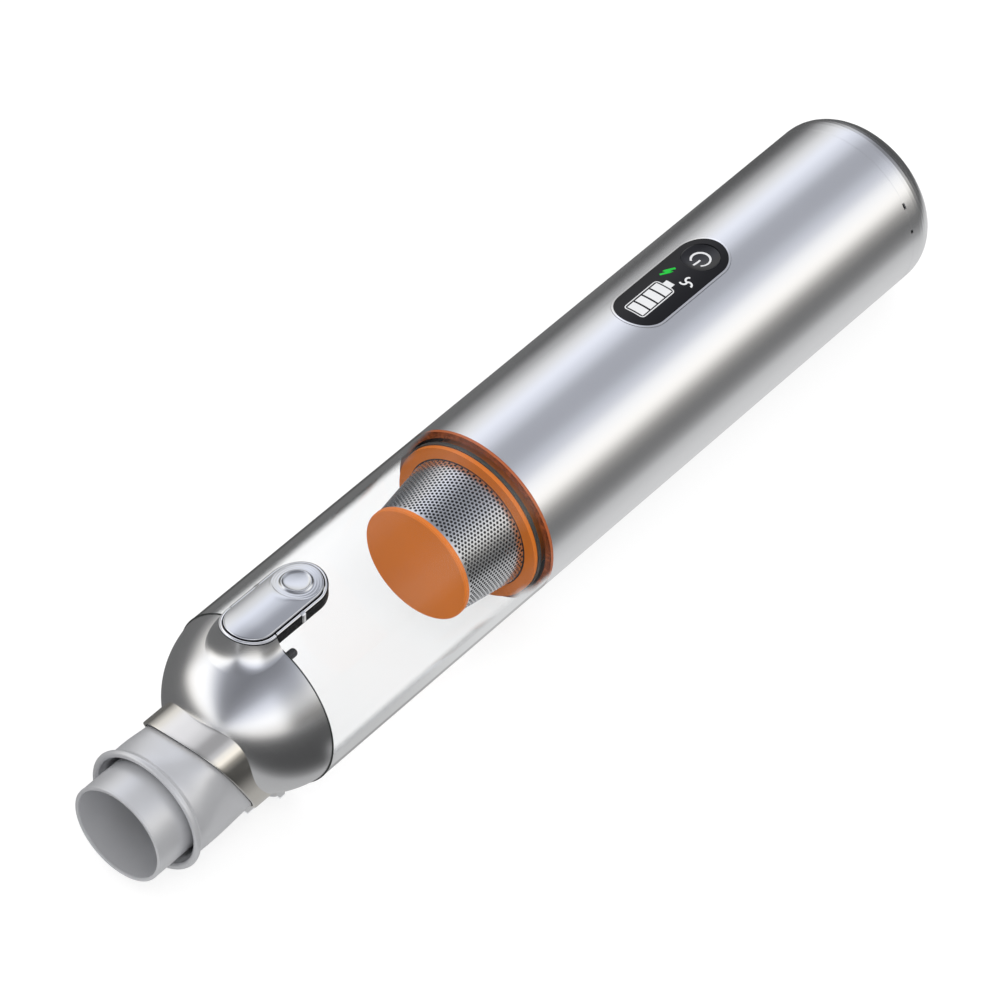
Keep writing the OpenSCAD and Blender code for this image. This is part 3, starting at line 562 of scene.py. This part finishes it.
def make_skirt(finishes):
    """The skirt with its flared and beaded lip, outside and inside."""
    bead_x, bead_r = LIP_X + LIP_SECTION, LIP_R - LIP_SECTION
    flare = bezier(((FLARE_X, SKIRT_R, 0), (bead_x + 0.1, LIP_R, 0)),
                   ((LIP_X + 2.4, SKIRT_R + 0.15, 0), (bead_x + 0.9, LIP_R - 0.05, 0)), 6)[1:]
    bead = arc((bead_x, bead_r), LIP_SECTION, 90, 270, 14)
    tail = [(LIP_X + 1.8, bead_r - LIP_SECTION - 0.1), (LIP_X + 2.5, SKIRT_R - 1.2)]
    lip = [(point[0], point[1]) for point in flare] + bead + tail
    inside = skirt_side(SKIRT_WALL)[::-1]
    rings = skirt_side(0.0) + [tube_ring(x, radius) for x, radius in lip] + inside
    points, faces = loft(rings, along=True)
    piece("nozzle_skirt_skin", "cap", points, faces, finishes["grey_plastic"],
          ("nozzle_skirt",))


def make_tube_mouth(finishes):
    """The rounded edge of the inlet tube."""
    section = arc((MOUTH_X, MOUTH_R), MOUTH_SECTION, 0, 360, 20)[:-1]
    points, faces = loft([tube_ring(x, radius, 128) for x, radius in section], along=True)
    piece("tube_mouth_bead", "cap", points, faces, finishes["grey_plastic"])


# Filter: perforated cone

CONE_FRONT = -25.0
CONE_REAR = -4.25
CONE_LEN = CONE_REAR - CONE_FRONT
CONE_FRONT_R = 18.0
CONE_REAR_R = 21.0
CONE_T = 0.5
LINING_REAR_R = 21.3
HOLE_PITCH = 1.22
HOLE_R = 0.46
HOLE_COLUMNS = 116


def cone_radius(x):
    return between(CONE_FRONT_R, CONE_REAR_R, (x - CONE_FRONT) / CONE_LEN)


def on_cone(x, turn, depth=0.0):
    x = min(max(x, CONE_FRONT), CONE_REAR)
    return about_axis(x, turn, cone_radius(x) - depth)


def sheet_cell(x, turn):
    """Six-sided cell of the sheet, with a hole through it except at the ends of the cone."""
    column_turn = 2.0 * math.pi / HOLE_COLUMNS
    cell, rim, floor = [], [], []
    for corner in range(6):
        angle = math.radians(30 + 60 * corner)
        along, aside = math.cos(angle), math.sin(angle)
        cell.append(on_cone(x + along * HOLE_PITCH / math.sqrt(3.0),
                            turn + aside * column_turn * 2 / 3))
        spot = (x + along * HOLE_R, turn + aside * HOLE_R / cone_radius(x))
        rim.append(on_cone(*spot))
        floor.append(on_cone(*spot, CONE_T))
    if HOLE_PITCH / 2 < x - CONE_FRONT < CONE_LEN - HOLE_PITCH / 2:
        return loft([cell, rim, floor])
    return cell, [tuple(range(6))]


def make_mesh_cone(finishes):
    """A steel cone with staggered round holes, and the thickness of the sheet in each."""
    rows = int(CONE_LEN / HOLE_PITCH) + 2
    points, faces = joined(sheet_cell(CONE_FRONT + HOLE_PITCH * (row + 0.5 * (column % 2)), turn)
                           for column, turn in enumerate(turns(HOLE_COLUMNS))
                           for row in range(rows))
    piece("filter_mesh_sheet", "filter", points, faces,
          finishes["perforated_steel"], ("filter_mesh",))
    points, faces = loft([round_ring(CONE_FRONT + 0.3, CONE_FRONT_R - CONE_T - 0.02),
                          round_ring(CONE_REAR - 0.1, CONE_REAR_R - CONE_T - 0.08),
                          round_ring(CONE_REAR - 0.04, LINING_REAR_R)])
    piece("filter_mesh_lining", "filter", points, faces,
          finishes["filter_paper"])


# Latch: lever, rims, gap and pin clips

LEVER_FRONT = -102.4
LEVER_REAR = -68.8
LEVER_HALF = 7.5
LEVER_EDGE = 0.9
LEVER_SIDES = 240
LEVER_CROWN_R = 20.0
LEVER_CROWN_TOP = 32.05
FRONT_FALL = 95.0
REAR_FALL = 100.0

DIMPLE_X = LEVER_REAR - LEVER_HALF
DISH_R = 3.5
DISH_DEPTH = 0.55
RING_R = 4.15
RING_H = 0.42
RING_SPREAD = 0.42
TERRACES = ((5.2, 0.10), (6.0, 0.09), (6.75, 0.09))
TERRACE_SOFTNESS = 0.07
CREASE_R = 6.9
CREASE_H = 0.16
CREASE_SPREAD = 0.3
RELIEF_STEP = 0.12
RELIEF_RINGS = 57

CAP_X = -94.25
RIM_HALF = 8.75
RIM_TOP_R = 31.05
RIM_LIFT = 0.02
RIM_FRONT_X = -94.9
RIM_REAR_X = -76.3
RIM_JOINT_X = -93.8
CLIP_X = -83.25


def dimple_height(reach, turn):
    """Height of the lever's relief at a distance and direction from the dimple's middle."""
    dish = -DISH_DEPTH * max(0.0, 1.0 - (reach / DISH_R) ** 2)
    ring = RING_H * math.exp(-((reach - RING_R) / RING_SPREAD) ** 2)
    terraces = sum(-height / (1.0 + math.exp((reach - crest) / TERRACE_SOFTNESS))
                   for crest, height in TERRACES)
    forward = 0.5 - 0.5 * math.cos(turn)
    crease = CREASE_H * forward ** 4 * math.exp(-((reach - CREASE_R) / CREASE_SPREAD) ** 2)
    return dish + ring + terraces + crease


def on_lever(reach, turn, lift):
    """A point of the crowned lever: rounder across than the body, and low at its ends."""
    x, y = DIMPLE_X + reach * math.cos(turn), reach * math.sin(turn)
    crown = LEVER_CROWN_TOP - LEVER_CROWN_R + math.sqrt(LEVER_CROWN_R ** 2 - y * y)
    front = max(0.0, LEVER_FRONT + LEVER_HALF - x) ** 2 / FRONT_FALL
    rear = max(0.0, x - LEVER_REAR + LEVER_HALF) ** 2 / REAR_FALL
    return (x, y, crown + lift - front - rear)


def lever_edge(turn, inset):
    """Distance from the dimple's middle to the pill's outline in one direction."""
    half = LEVER_HALF - inset
    cosine, sine = math.cos(turn), math.sin(turn)
    if cosine >= 0.0:
        return half
    span = RIM_REAR_X - RIM_FRONT_X
    side = half / abs(sine) if sine else math.inf
    if abs(cosine) * side <= span:
        return side
    across = span * sine
    return span * abs(cosine) + math.sqrt(max(0.0, half * half - across * across))


def make_lever(finishes):
    """The lever's upper skin: a curved pill with a dished finger rest and fine rings."""
    reaches = [RELIEF_STEP + RELIEF_STEP * step for step in range(RELIEF_RINGS)]
    rings = [[on_lever(reach, turn, dimple_height(reach, turn)) for turn in turns(LEVER_SIDES)]
             for reach in reaches]
    steps = 12
    for step in range(1, steps + 1):
        ring = []
        for turn in turns(LEVER_SIDES):
            reach = between(reaches[-1], lever_edge(turn, LEVER_EDGE), step / steps)
            ring.append(on_lever(reach, turn, dimple_height(reach, turn)))
        rings.append(ring)
    for inset, drop in ((0.55, 0.0), (0.36, 0.0), (0.30, 0.01), (0.22, 0.05), (0.16, 0.13),
                        (0.14, 0.26), (0.14, 0.40), (0.14, 1.4)):
        rings.append([on_lever(lever_edge(turn, inset), turn, -drop)
                      for turn in turns(LEVER_SIDES)])
    points, faces = loft(rings)
    faces.append(tuple(range(LEVER_SIDES)))
    piece("latch_lever_skin", "lever", points, faces, finishes["lever_metal"])


def pill_path(x_end, front):
    """Middle points and outward directions along the rim, on one side of a cross line."""
    centre, way = (RIM_FRONT_X, -1.0) if front else (RIM_REAR_X, 1.0)
    straight, bend = 14, 40
    path = [(between(x_end, centre, step / straight), 0.0, 1.0) for step in range(straight)]
    for step in range(bend + 1):
        turn = math.pi * (0.5 - step / bend)
        path.append((centre, way * math.cos(turn), math.sin(turn)))
    return path + [(between(centre, x_end, step / straight), 0.0, -1.0)
                   for step in range(1, straight + 1)]


def rim_rings(x_end, front, section, lift):
    """A section of offsets and drops from the rim's edge, set along the rim."""
    return [[on_round(x + out_x * (RIM_HALF + offset), out_y * (RIM_HALF + offset),
                      RIM_TOP_R + lift - drop) for offset, drop in section]
            for x, out_x, out_y in pill_path(x_end, front)]


def rim_bead(name, body, x_end, front, finishes, replaced=()):
    """A bright rounded bead along the latch's rim, with a dark joint outside it and a black strip
    of painted shade in the gap inside it.
    """
    bead = [(-0.86, 0.9), (-0.87, 0.06), (-0.80, -0.06), (-0.62, -0.14), (-0.44, -0.14),
            (-0.28, -0.08), (-0.20, 0.02), (-0.18, 0.14)]
    # The inner strip is painted shade, black in the gap by the lever; the outer strip is the dark
    # joint outside the bead
    joint_and_shade_strips = {"inner": [(-0.86, -0.01), (-0.89, 0.05), (-0.90, 2.2)],
              "outer": [(-0.20, 0.10), (-0.06, 0.05), (0.05, 0.12), (0.07, 0.24), (0.06, 0.42)]}
    points, faces = capped(rim_rings(x_end, front, bead, RIM_LIFT))
    piece(name, body, points, faces, finishes["bright_trim"], replaced)
    for side, section in joint_and_shade_strips.items():
        points, faces = loft(rim_rings(x_end, front, section, RIM_LIFT), around=False)
        piece(name + "_" + side, body, points, faces,
              finishes["black_plastic"])


def make_rims(finishes):
    rim_bead("latch_rim_front", "cap", CAP_X, True, finishes)
    rim_bead("latch_rim_rear", "cup", RIM_JOINT_X, False, finishes, ("latch_rim",))


def make_lever_gap_shade(finishes):
    """A black strip of painted shade in the gap between the lever and the front of its pocket."""
    section = [(-0.86, -0.01), (-1.04, -0.01), (-1.04, 2.7), (-1.0, 2.74)]
    points, faces = loft(rim_rings(CAP_X, True, section, 0.0), around=False)
    piece("lever_gap_painted_shade", "cap", points, faces, finishes["black_plastic"])


def make_pin_clips(finishes):
    """The small bright end plates of the latch's cross pin, on the frame's black sides."""
    for name, side in (("pin_clip_left", -1), ("pin_clip_right", 1)):
        rings = []
        for drop, grow in ((0.3, -0.9), (-0.18, -0.85), (-0.16, -0.1), (0.02, 0.2), (2.6, 0.2),
                           (2.6, 0.0)):
            rings.append([on_round(CLIP_X + offset, side * (RIM_HALF + grow - rounding),
                                   RIM_TOP_R - drop)
                          for offset, rounding in ((-0.78, 0.14), (-0.6, 0.0), (0.6, 0.0),
                                                   (0.78, 0.14))])
        points, faces = loft(rings, around=False)
        piece(name, "cup", points, faces, finishes["bright_trim"])


# Front cap: dome, fillet and peg

DOME_X = -89.6
DOME_A = 30.4
DOME_SIDES = 240
DOME_STEPS = 44
COLLAR_COVER = 0.97
HINGE_TOP = -19.0
HINGE_HALF = 12.6
HINGE_FRONT = -103.0
JOINT_TURN = 154

FILLET_SIDE = 3.8
FILLET_FRONT = 5.8
FILLET_OUT = 0.03
FILLET_DROP = 0.45
FILLET_LIFT = 0.045
FILLET_SINK = 0.05
FILLET_STEPS = 22
FILLET_SPACING = 1.4
FILLET_DECAY = 3.2

PEG_TURN = 26.0
PEG_RING_R = 24.0
PEG_R = 1.3


def dome_z(x, y):
    inside = 1.0 - ((x - DOME_X) / DOME_A) ** 2
    return math.sqrt(max(0.0, BODY_R ** 2 * inside - y * y))


def make_boss_fillet(finishes):
    """The soft blend from the latch's rim down to the dome of the front cap."""
    rings = []
    for x, out_x, out_y in pill_path(CAP_X, True):
        wall_x, wall_y = x + out_x * (RIM_HALF + FILLET_OUT), out_y * (RIM_HALF + FILLET_OUT)
        reach = between(FILLET_SIDE, FILLET_FRONT, smoothed(max(0.0, -out_x)))
        rise = on_round(wall_x, wall_y, RIM_TOP_R - FILLET_DROP)[2] - dome_z(wall_x, wall_y)
        ring = []
        for step in range(FILLET_STEPS + 1):
            share = (step / FILLET_STEPS) ** FILLET_SPACING
            foot_x, foot_y = wall_x + out_x * reach * share, wall_y + out_y * reach * share
            lift = FILLET_LIFT - FILLET_SINK * share + rise * (1.0 - share) ** FILLET_DECAY
            ring.append((foot_x, foot_y, dome_z(foot_x, foot_y) + lift))
        rings.append(ring)
    points, faces = loft(rings, around=False)
    piece("latch_boss_fillet", "cap", points, faces, finishes["dome_metal"])


def collar_reach(side, rise):
    """Distance from the axis to just inside the collar's outline in one direction."""
    reach, step = 9.0, 0.05
    while (abs(reach * side / COLLAR_W) ** COLLAR_POWER
           + abs((reach * rise - NOZZLE_Z) / COLLAR_H) ** COLLAR_POWER) < COLLAR_COVER:
        reach += step
    return reach


def over_hinge(point):
    x, y, z = point
    return z < HINGE_TOP and abs(y) < HINGE_HALF and x > HINGE_FRONT


def make_dome(finishes):
    """The dome's smooth skin, from the collar to the seam, left open at the hinge."""
    last = math.acos((DOME_X - CAP_X) / DOME_A)
    first = [math.asin(collar_reach(math.sin(turn), math.cos(turn)) / BODY_R)
             for turn in turns(DOME_SIDES)]
    rings = []
    for step in range(DOME_STEPS + 1):
        ring = []
        for turn, start in zip(turns(DOME_SIDES), first):
            angle = between(start, last, step / DOME_STEPS)
            ring.append(about_axis(DOME_X - (DOME_A + SKIN) * math.cos(angle), turn,
                                   (BODY_R + SKIN) * math.sin(angle)))
        rings.append(ring)
    points, faces = loft(rings)
    kept = [face for face in faces if not any(over_hinge(points[index]) for index in face)]
    piece("dome_skin", "cap", points, kept, finishes["dome_metal"])


def make_dome_joint(finishes):
    """The thin dark line at the seam of the cap and the cup, left open at the hinge."""
    rings = []
    for x, radius in ((CAP_X - 0.02, BODY_R + 0.075), (CAP_X + 0.10, BODY_R + 0.05),
                      (CAP_X + 0.12, BODY_R - 0.6)):
        rings.append([about_axis(x, math.radians(turn), radius)
                      for turn in range(-JOINT_TURN, JOINT_TURN + 1, 2)])
    points, faces = loft(rings, around=False)
    piece("dome_joint", "cap", points, faces, finishes["dark_rubber"])


def make_peg(finishes):
    """The black peg on the rim of the cap, with a rounded end."""
    _, centre_y, centre_z = about_axis(0.0, -math.radians(PEG_TURN), PEG_RING_R)
    profile = [(-96.0, PEG_R), (-90.0, PEG_R), (-89.6, 1.2), (-89.3, 0.94), (-89.16, 0.5),
               (-89.14, 0.02)]
    rings = [[(x, centre_y + radius * math.cos(turn), centre_z + radius * math.sin(turn))
              for turn in turns(24)] for x, radius in profile]
    points, faces = loft(rings)
    piece("locating_peg_skin", "cap", points, faces, finishes["peg_plastic"],
          ("locating_peg",))


# Seams: the cup's clear edge and the rear cap

CUP_EDGE_FROM = -0.5
CUP_EDGE_TO = 0.42
REAR_X = 170.25
SEAM_R = 27.95
NOTCHES = (("rear_notch_upper", 58.0, 2.0), ("rear_notch_lower", 76.0, 1.1))
NOTCH_HALF_WIDTH = 0.3
NOTCH_STEPS = 8


def make_cup_edge(finishes):
    """The cup's clear edge, which laps over the orange seal ring."""
    points, faces = loft([round_ring(x, BODY_R + 0.02) for x in (CUP_EDGE_FROM, CUP_EDGE_TO)])
    piece("cup_clear_edge", "cup", points, faces, finishes["clear_cup"])


def make_rear_joint(finishes):
    """The silver ring in the joint of the rear cap."""
    points, faces = loft([round_ring(REAR_X + offset, radius, 240) for offset, radius in
                          ((-0.55, 27.2), (-0.55, SEAM_R), (0.05, SEAM_R), (0.05, 27.2))])
    piece("rear_joint_ring", "body", points, faces, finishes["silver_shell"])


def make_rear_notches(finishes):
    """Two small notches at the rear joint, given by their turns and lengths, drawn as thin black
    strips whose darkness is painted shade.
    """
    for name, middle, length in NOTCHES:
        half = math.degrees(length / 2 / BODY_R)
        rings = []
        for step in range(NOTCH_STEPS + 1):
            share = step / NOTCH_STEPS
            turn = -math.radians(middle + between(-half, half, share))
            width = NOTCH_HALF_WIDTH * math.sin(math.pi * (0.1 + 0.8 * share))
            rings.append([about_axis(REAR_X - 0.25 + side * width, turn, radius)
                          for side, radius in ((-1, 27.9), (-1, 28.02), (1, 28.02), (1, 27.9))])
        points, faces = capped(rings)
        piece(name, "body", points, faces, finishes["black_plastic"])


# Control panel: marks

BUTTON_X = 102.1
BUTTON_LOW = 26.6
BUTTON_CURVE = 17.4
PRINT_TOP = 0.03
PRINT_BASE = -0.05
PRINT_STEP = 0.4

POWER_R = 2.88
POWER_GAP = 38
POWER_LINE = 0.63
GAUGE_X = (70.75, 85.65)
GAUGE_SPAN = (-3.5, 3.55)
GAUGE_CORNER = 1.1
BAR_X = 72.9
BAR_PITCH = 3.55
BAR_WIDTH = 2.87
BOLT = [(93.5, 2.5), (90.6, 4.6), (91.7, 2.4), (88.6, 4.5)]
FAN_X = 90.9
FAN_SPAN = -3.75
FAN_BLADE_R = 1.05


def on_panel(x, span, lift):
    """A point of the panel's curved top, whose span runs round the body."""
    return about_axis(x, span / BODY_R, BODY_R + lift)


def on_button(x, span, lift):
    """A point of the button's dished top."""
    reach = (x - BUTTON_X) ** 2 + span ** 2
    return (x, span, BUTTON_LOW + BUTTON_CURVE - math.sqrt(BUTTON_CURVE ** 2 - reach) + lift)


def fine(path, closed):
    """The same path with points close enough together to follow a curved surface."""
    close = []
    ends = list(zip(path, path[1:] + path[:1]))
    for first, last in ends if closed else ends[:-1]:
        count = max(1, round(math.dist(first, last) / PRINT_STEP))
        for index in range(count):
            close.append((between(first[0], last[0], index / count),
                          between(first[1], last[1], index / count)))
    return close if closed else close + [path[-1]]


def stroke(path, width, closed, surface):
    """A thin printed line along a path on a surface, as points and faces."""
    path = fine(path, closed)
    rings = []
    for index, (x, span) in enumerate(path):
        before = path[index - 1] if index or closed else path[index]
        after = path[(index + 1) % len(path)] if index < len(path) - 1 or closed else path[index]
        run = Vector((after[0] - before[0], after[1] - before[1])).normalized() * width / 2
        left, right = (x - run.y, span + run.x), (x + run.y, span - run.x)
        rings.append([surface(*left, PRINT_BASE), surface(*left, PRINT_TOP),
                      surface(*right, PRINT_TOP), surface(*right, PRINT_BASE)])
    return loft(rings, along=True) if closed else capped(rings)


def printed(name, body, strokes, material, surface=on_panel):
    """One mark of several strokes, each given by its path, its width and whether it closes."""
    points, faces = joined(stroke(path, width, closed, surface) for path, width, closed in strokes)
    piece(name, body, points, faces, material)


def rounded_box(low_x, high_x, low_span, high_span, radius):
    corners = ((high_x - radius, high_span - radius, 0), (low_x + radius, high_span - radius, 90),
               (low_x + radius, low_span + radius, 180), (high_x - radius, low_span + radius, 270))
    return [point for x, span, start in corners
            for point in arc((x, span), radius, start, start + 90, 5)]


def make_panel_marks(finishes):
    """Plain pictograms: power sign, charge gauge, a bolt for charging and a fan."""
    white, green = finishes["white_mark"], finishes["green_mark"]
    ring = arc((BUTTON_X, 0.0), POWER_R, 180 - POWER_GAP, -180 + POWER_GAP, 40)
    bar = [(BUTTON_X - 3.5, 0.0), (BUTTON_X - 0.15, 0.0)]
    printed("power_mark", "button", [(ring, POWER_LINE, False), (bar, POWER_LINE, False)],
            white, on_button)
    gauge = [(rounded_box(*GAUGE_X, *GAUGE_SPAN, GAUGE_CORNER), 0.35, True),
             ([(86.7, -1.8), (86.7, 1.2)], 1.9, False)]
    for index in range(4):
        x = BAR_X + BAR_PITCH * index
        gauge.append(([(x, -2.9), (x, 2.8)], BAR_WIDTH, False))
    printed("charge_gauge_mark", "body", gauge, white)
    printed("charging_mark", "body", [(BOLT, 0.85, False)], green)
    fan = []
    for angle in (0, 120, 240):
        centre = (FAN_X + FAN_BLADE_R * math.cos(math.radians(angle)),
                  FAN_SPAN + FAN_BLADE_R * math.sin(math.radians(angle)))
        fan.append((arc(centre, FAN_BLADE_R, angle + 180, angle + 20, 10), 0.62, False))
    printed("fan_mark", "body", fan, white)


PIECES = (make_collar, make_skirt, make_tube_mouth, make_mesh_cone, make_lever, make_rims,
          make_lever_gap_shade, make_boss_fillet, make_dome, make_dome_joint, make_peg,
          make_cup_edge, make_pin_clips, make_panel_marks, make_rear_joint, make_rear_notches)


# Studio

FLOOR_SIZE = 8.0
FLOOR_GLOW = 0.76
WORLD_FILL = 0.9
SCRIM_R = 1.2
SCRIM_HALF = 12.0
SCRIM_TURN = 91.4
SCRIM_STEPS = 60
FLAG_NEAR = 0.005
FLAG_FAR = 1.2
FLAG_LIFT = 0.0006
CARD_PEAK = 1.5
COOL = (0.93, 0.96, 1.06)
WARM = (1.03, 1.0, 0.95)
PLAIN = (1.0, 1.0, 1.0)


def seen_rays(look):
    """1 for rays that show the background: from the camera, from gloss and through glass."""
    camera, glossy, transmitted = (look.node("ShaderNodeLightPath", output=output)
                                   for output in (0, 3, 6))
    return camera.maths("MAXIMUM", glossy).maths("MAXIMUM", transmitted)


def make_world():
    world = bpy.data.worlds.new("studio")
    bpy.context.scene.world = world
    look = Finish("studio", world)
    strength = seen_rays(look) * (1.0 - WORLD_FILL) + WORLD_FILL
    look.finish(look.node("ShaderNodeBackground", {},
                          {"Color": (1.0, 1.0, 1.0, 1.0), "Strength": strength}))


def stage_mesh(name, points, faces, material):
    mesh = bpy.data.meshes.new(name)
    mesh.from_pydata(points, [], faces)
    mesh.materials.append(material)
    made = bpy.data.objects.new(name, mesh)
    bpy.context.scene.collection.objects.link(made)
    return made


def make_floor():
    """A pale floor that looks white, apart from the soft shadow of the object."""
    look = Finish("pale_floor")
    cloud = look.grain(400.0, 3.0)
    tone = look.mixed(cloud, (0.78, 0.78, 0.78), (0.80, 0.80, 0.80))
    paper = look.node("ShaderNodeBsdfDiffuse", {}, {"Color": tone})
    shade = look.node("ShaderNodeBsdfDiffuse", {}, {"Color": (0.30, 0.30, 0.30, 1.0)})
    glow = look.node("ShaderNodeEmission", {}, {"Color": (1, 1, 1, 1), "Strength": FLOOR_GLOW})
    seen = look.node("ShaderNodeAddShader", {}, {0: shade, 1: glow})
    look.finish(look.node("ShaderNodeMixShader", {}, {0: seen_rays(look), 1: paper, 2: seen}))
    half = FLOOR_SIZE / 2
    corners = [(-half, -half, 0), (half, -half, 0), (half, half, 0), (-half, half, 0)]
    stage_mesh("floor", corners, [(0, 1, 2, 3)], look.owner)


def only_in_gloss(card):
    """A card that polished surfaces mirror, and that neither shows nor casts shade."""
    card.visible_camera = False
    card.visible_diffuse = False
    card.visible_shadow = False
    card.visible_transmission = False
    card.visible_volume_scatter = False


def graded(*stops):
    """Places across a card with their colours, from a level and a tint for each place."""
    return [(place, shaded(tint[0] if tint else PLAIN, level)) for place, level, *tint in stops]


def arched(*stops):
    """The same for the scrim, from angles off its top: minus towards the far side."""
    return graded(*(((angle + 90.0) / 180.0, *rest) for angle, *rest in stops))


def card_finish(name, position, profiles, joins):
    """Emission graded across a card by profiles that follow each other from +X to -X."""
    look = Finish(name)
    across = position(look)
    along = look.coordinate(0)
    tone = None
    for profile, join in zip(profiles, ((),) + joins):
        stops = [(place, shaded(colour, 1.0 / CARD_PEAK)) for place, colour in profile]
        level = look.node("ShaderNodeValToRGB", {"stops": stops, "interpolation": "EASE"},
                          {0: across})
        tone = look.mixed(look.eased(along, *join), level, tone) if join else level
    return look.finish(look.node("ShaderNodeEmission", {},
                                 {"Color": tone, "Strength": CARD_PEAK}))


def scrim_angle(look):
    """0 at the far horizon, 0.5 overhead and 1 at the near horizon."""
    return (look.coordinate(1) * -1.0).maths("ARCTAN2", look.coordinate(2)) / math.pi + 0.5


def floor_distance(look):
    return look.coordinate(1).maths("ABSOLUTE")


def make_scrim():
    """A long arched scrim, graded across as soft white boxes that change along the object."""
    end = graded((0.0, 0.07), (1.0, 0.09))
    rear = arched((-90, 0.16), (-74, 0.44), (-54, 0.90), (-38, 1.12, COOL), (-25, 0.86, COOL),
                  (-6, 0.46, COOL), (14, 0.46, COOL), (34, 0.74, COOL), (50, 1.16),
                  (68, 1.26, WARM), (80, 0.66, WARM), (89, 0.26, WARM))
    middle = arched((-90, 0.11), (-80, 0.24), (-66, 0.85, WARM), (-49, 1.15), (-34, 0.90, COOL),
                    (-22, 0.45, COOL), (-8, 0.24, COOL), (22, 0.24, COOL), (48, 0.45, COOL),
                    (68, 0.70), (82, 0.34, WARM), (89, 0.14, WARM))
    front = arched((-90, 0.12, WARM), (-84, 0.55, WARM), (-77, 1.25, WARM), (-62, 1.35),
                   (-48, 1.30), (-34, 0.65, COOL), (-20, 0.26, COOL), (12, 0.20, COOL),
                   (32, 0.34, COOL), (50, 0.95, COOL), (70, 1.35), (89, 1.0, WARM))
    material = card_finish("scrim", scrim_angle, (end, rear, middle, front),
                           ((1.1, 3.0), (-0.05, 0.65), (-0.75, -0.30)))
    rings = []
    for step in range(SCRIM_STEPS + 1):
        turn = math.radians(between(-SCRIM_TURN, SCRIM_TURN, step / SCRIM_STEPS))
        rings.append([about_axis(x, -turn, SCRIM_R) for x in (-SCRIM_HALF, SCRIM_HALF)])
    points, faces = loft(rings, around=False)
    faces.append(tuple(range(1, len(points), 2)))
    scrim = stage_mesh("overhead_scrim", points, faces, material)
    scrim.location.z = AXIS_Z * MM
    only_in_gloss(scrim)


def floor_flag(name, near, far, profiles, joins):
    """A flat card just above the floor, graded by its distance from the object."""
    material = card_finish(name, floor_distance, profiles, joins)
    corners = [(-SCRIM_HALF, near, FLAG_LIFT), (SCRIM_HALF, near, FLAG_LIFT),
               (SCRIM_HALF, far, FLAG_LIFT), (-SCRIM_HALF, far, FLAG_LIFT)]
    only_in_gloss(stage_mesh(name, corners, [(0, 1, 2, 3)], material))


def make_far_flag():
    floor_flag("far_flag", FLAG_NEAR, FLAG_FAR,
               (graded((0.0, 0.10), (1.0, 0.10)), graded((0.0, 0.15), (1.0, 0.15))),
               ((0.17, 0.19),))


def make_near_flag():
    """The flag on the camera's side: light close to the object, dark, and light again."""
    end = graded((0.0, 0.09), (0.1, 0.12), (0.25, 0.18), (0.5, 0.28, WARM), (1.0, 0.30))
    rear = graded((0.0, 0.68), (0.033, 0.69), (0.05, 0.62), (0.072, 0.30), (0.10, 0.18),
                  (0.25, 0.18), (0.50, 0.28, WARM), (1.0, 0.30))
    outer = graded((0.12, 0.085), (0.25, 0.14), (0.55, 0.30), (1.0, 0.60))
    middle = graded((0.0, 0.54), (0.036, 0.52), (0.048, 0.48), (0.058, 0.20),
                    (0.068, 0.09)) + outer
    nozzle = graded((0.0, 0.50), (0.027, 0.46), (0.032, 0.22), (0.038, 0.09),
                    (0.05, 0.075)) + outer
    front = graded((0.0, 0.30), (0.10, 0.10), (0.30, 0.30), (0.60, 0.75, WARM),
                   (1.0, 1.0, WARM))
    floor_flag("near_flag", FLAG_NEAR, -FLAG_FAR, (end, rear, middle, nozzle, front),
               ((0.21, 0.28), (-0.085, -0.02), (-0.106, -0.095), (-0.75, -0.25)))


LAMP_TARGET = Vector((0.0, 0.0, 0.03))


def lamp(name, spot, size, power):
    light = bpy.data.lights.new(name, "AREA")
    light.shape = "SQUARE"
    light.size = size
    light.energy = power
    made = bpy.data.objects.new(name, light)
    made.location = spot
    made.rotation_euler = (LAMP_TARGET - Vector(spot)).to_track_quat("-Z", "Y").to_euler()
    made.visible_glossy = False
    bpy.context.scene.collection.objects.link(made)


def make_studio():
    make_world()
    make_floor()
    make_scrim()
    make_far_flag()
    make_near_flag()
    lamp("key", (-0.9, -0.9, 1.5), 1.4, 10.0)
    lamp("fill", (1.0, 0.9, 1.4), 1.6, 5.0)


# Scene

bpy.context.scene.view_settings.view_transform = "Standard"
make_camera()
make_studio()
finishes = make_finishes()
dress_nodes(finishes)
for make_piece in PIECES:
    make_piece(finishes)
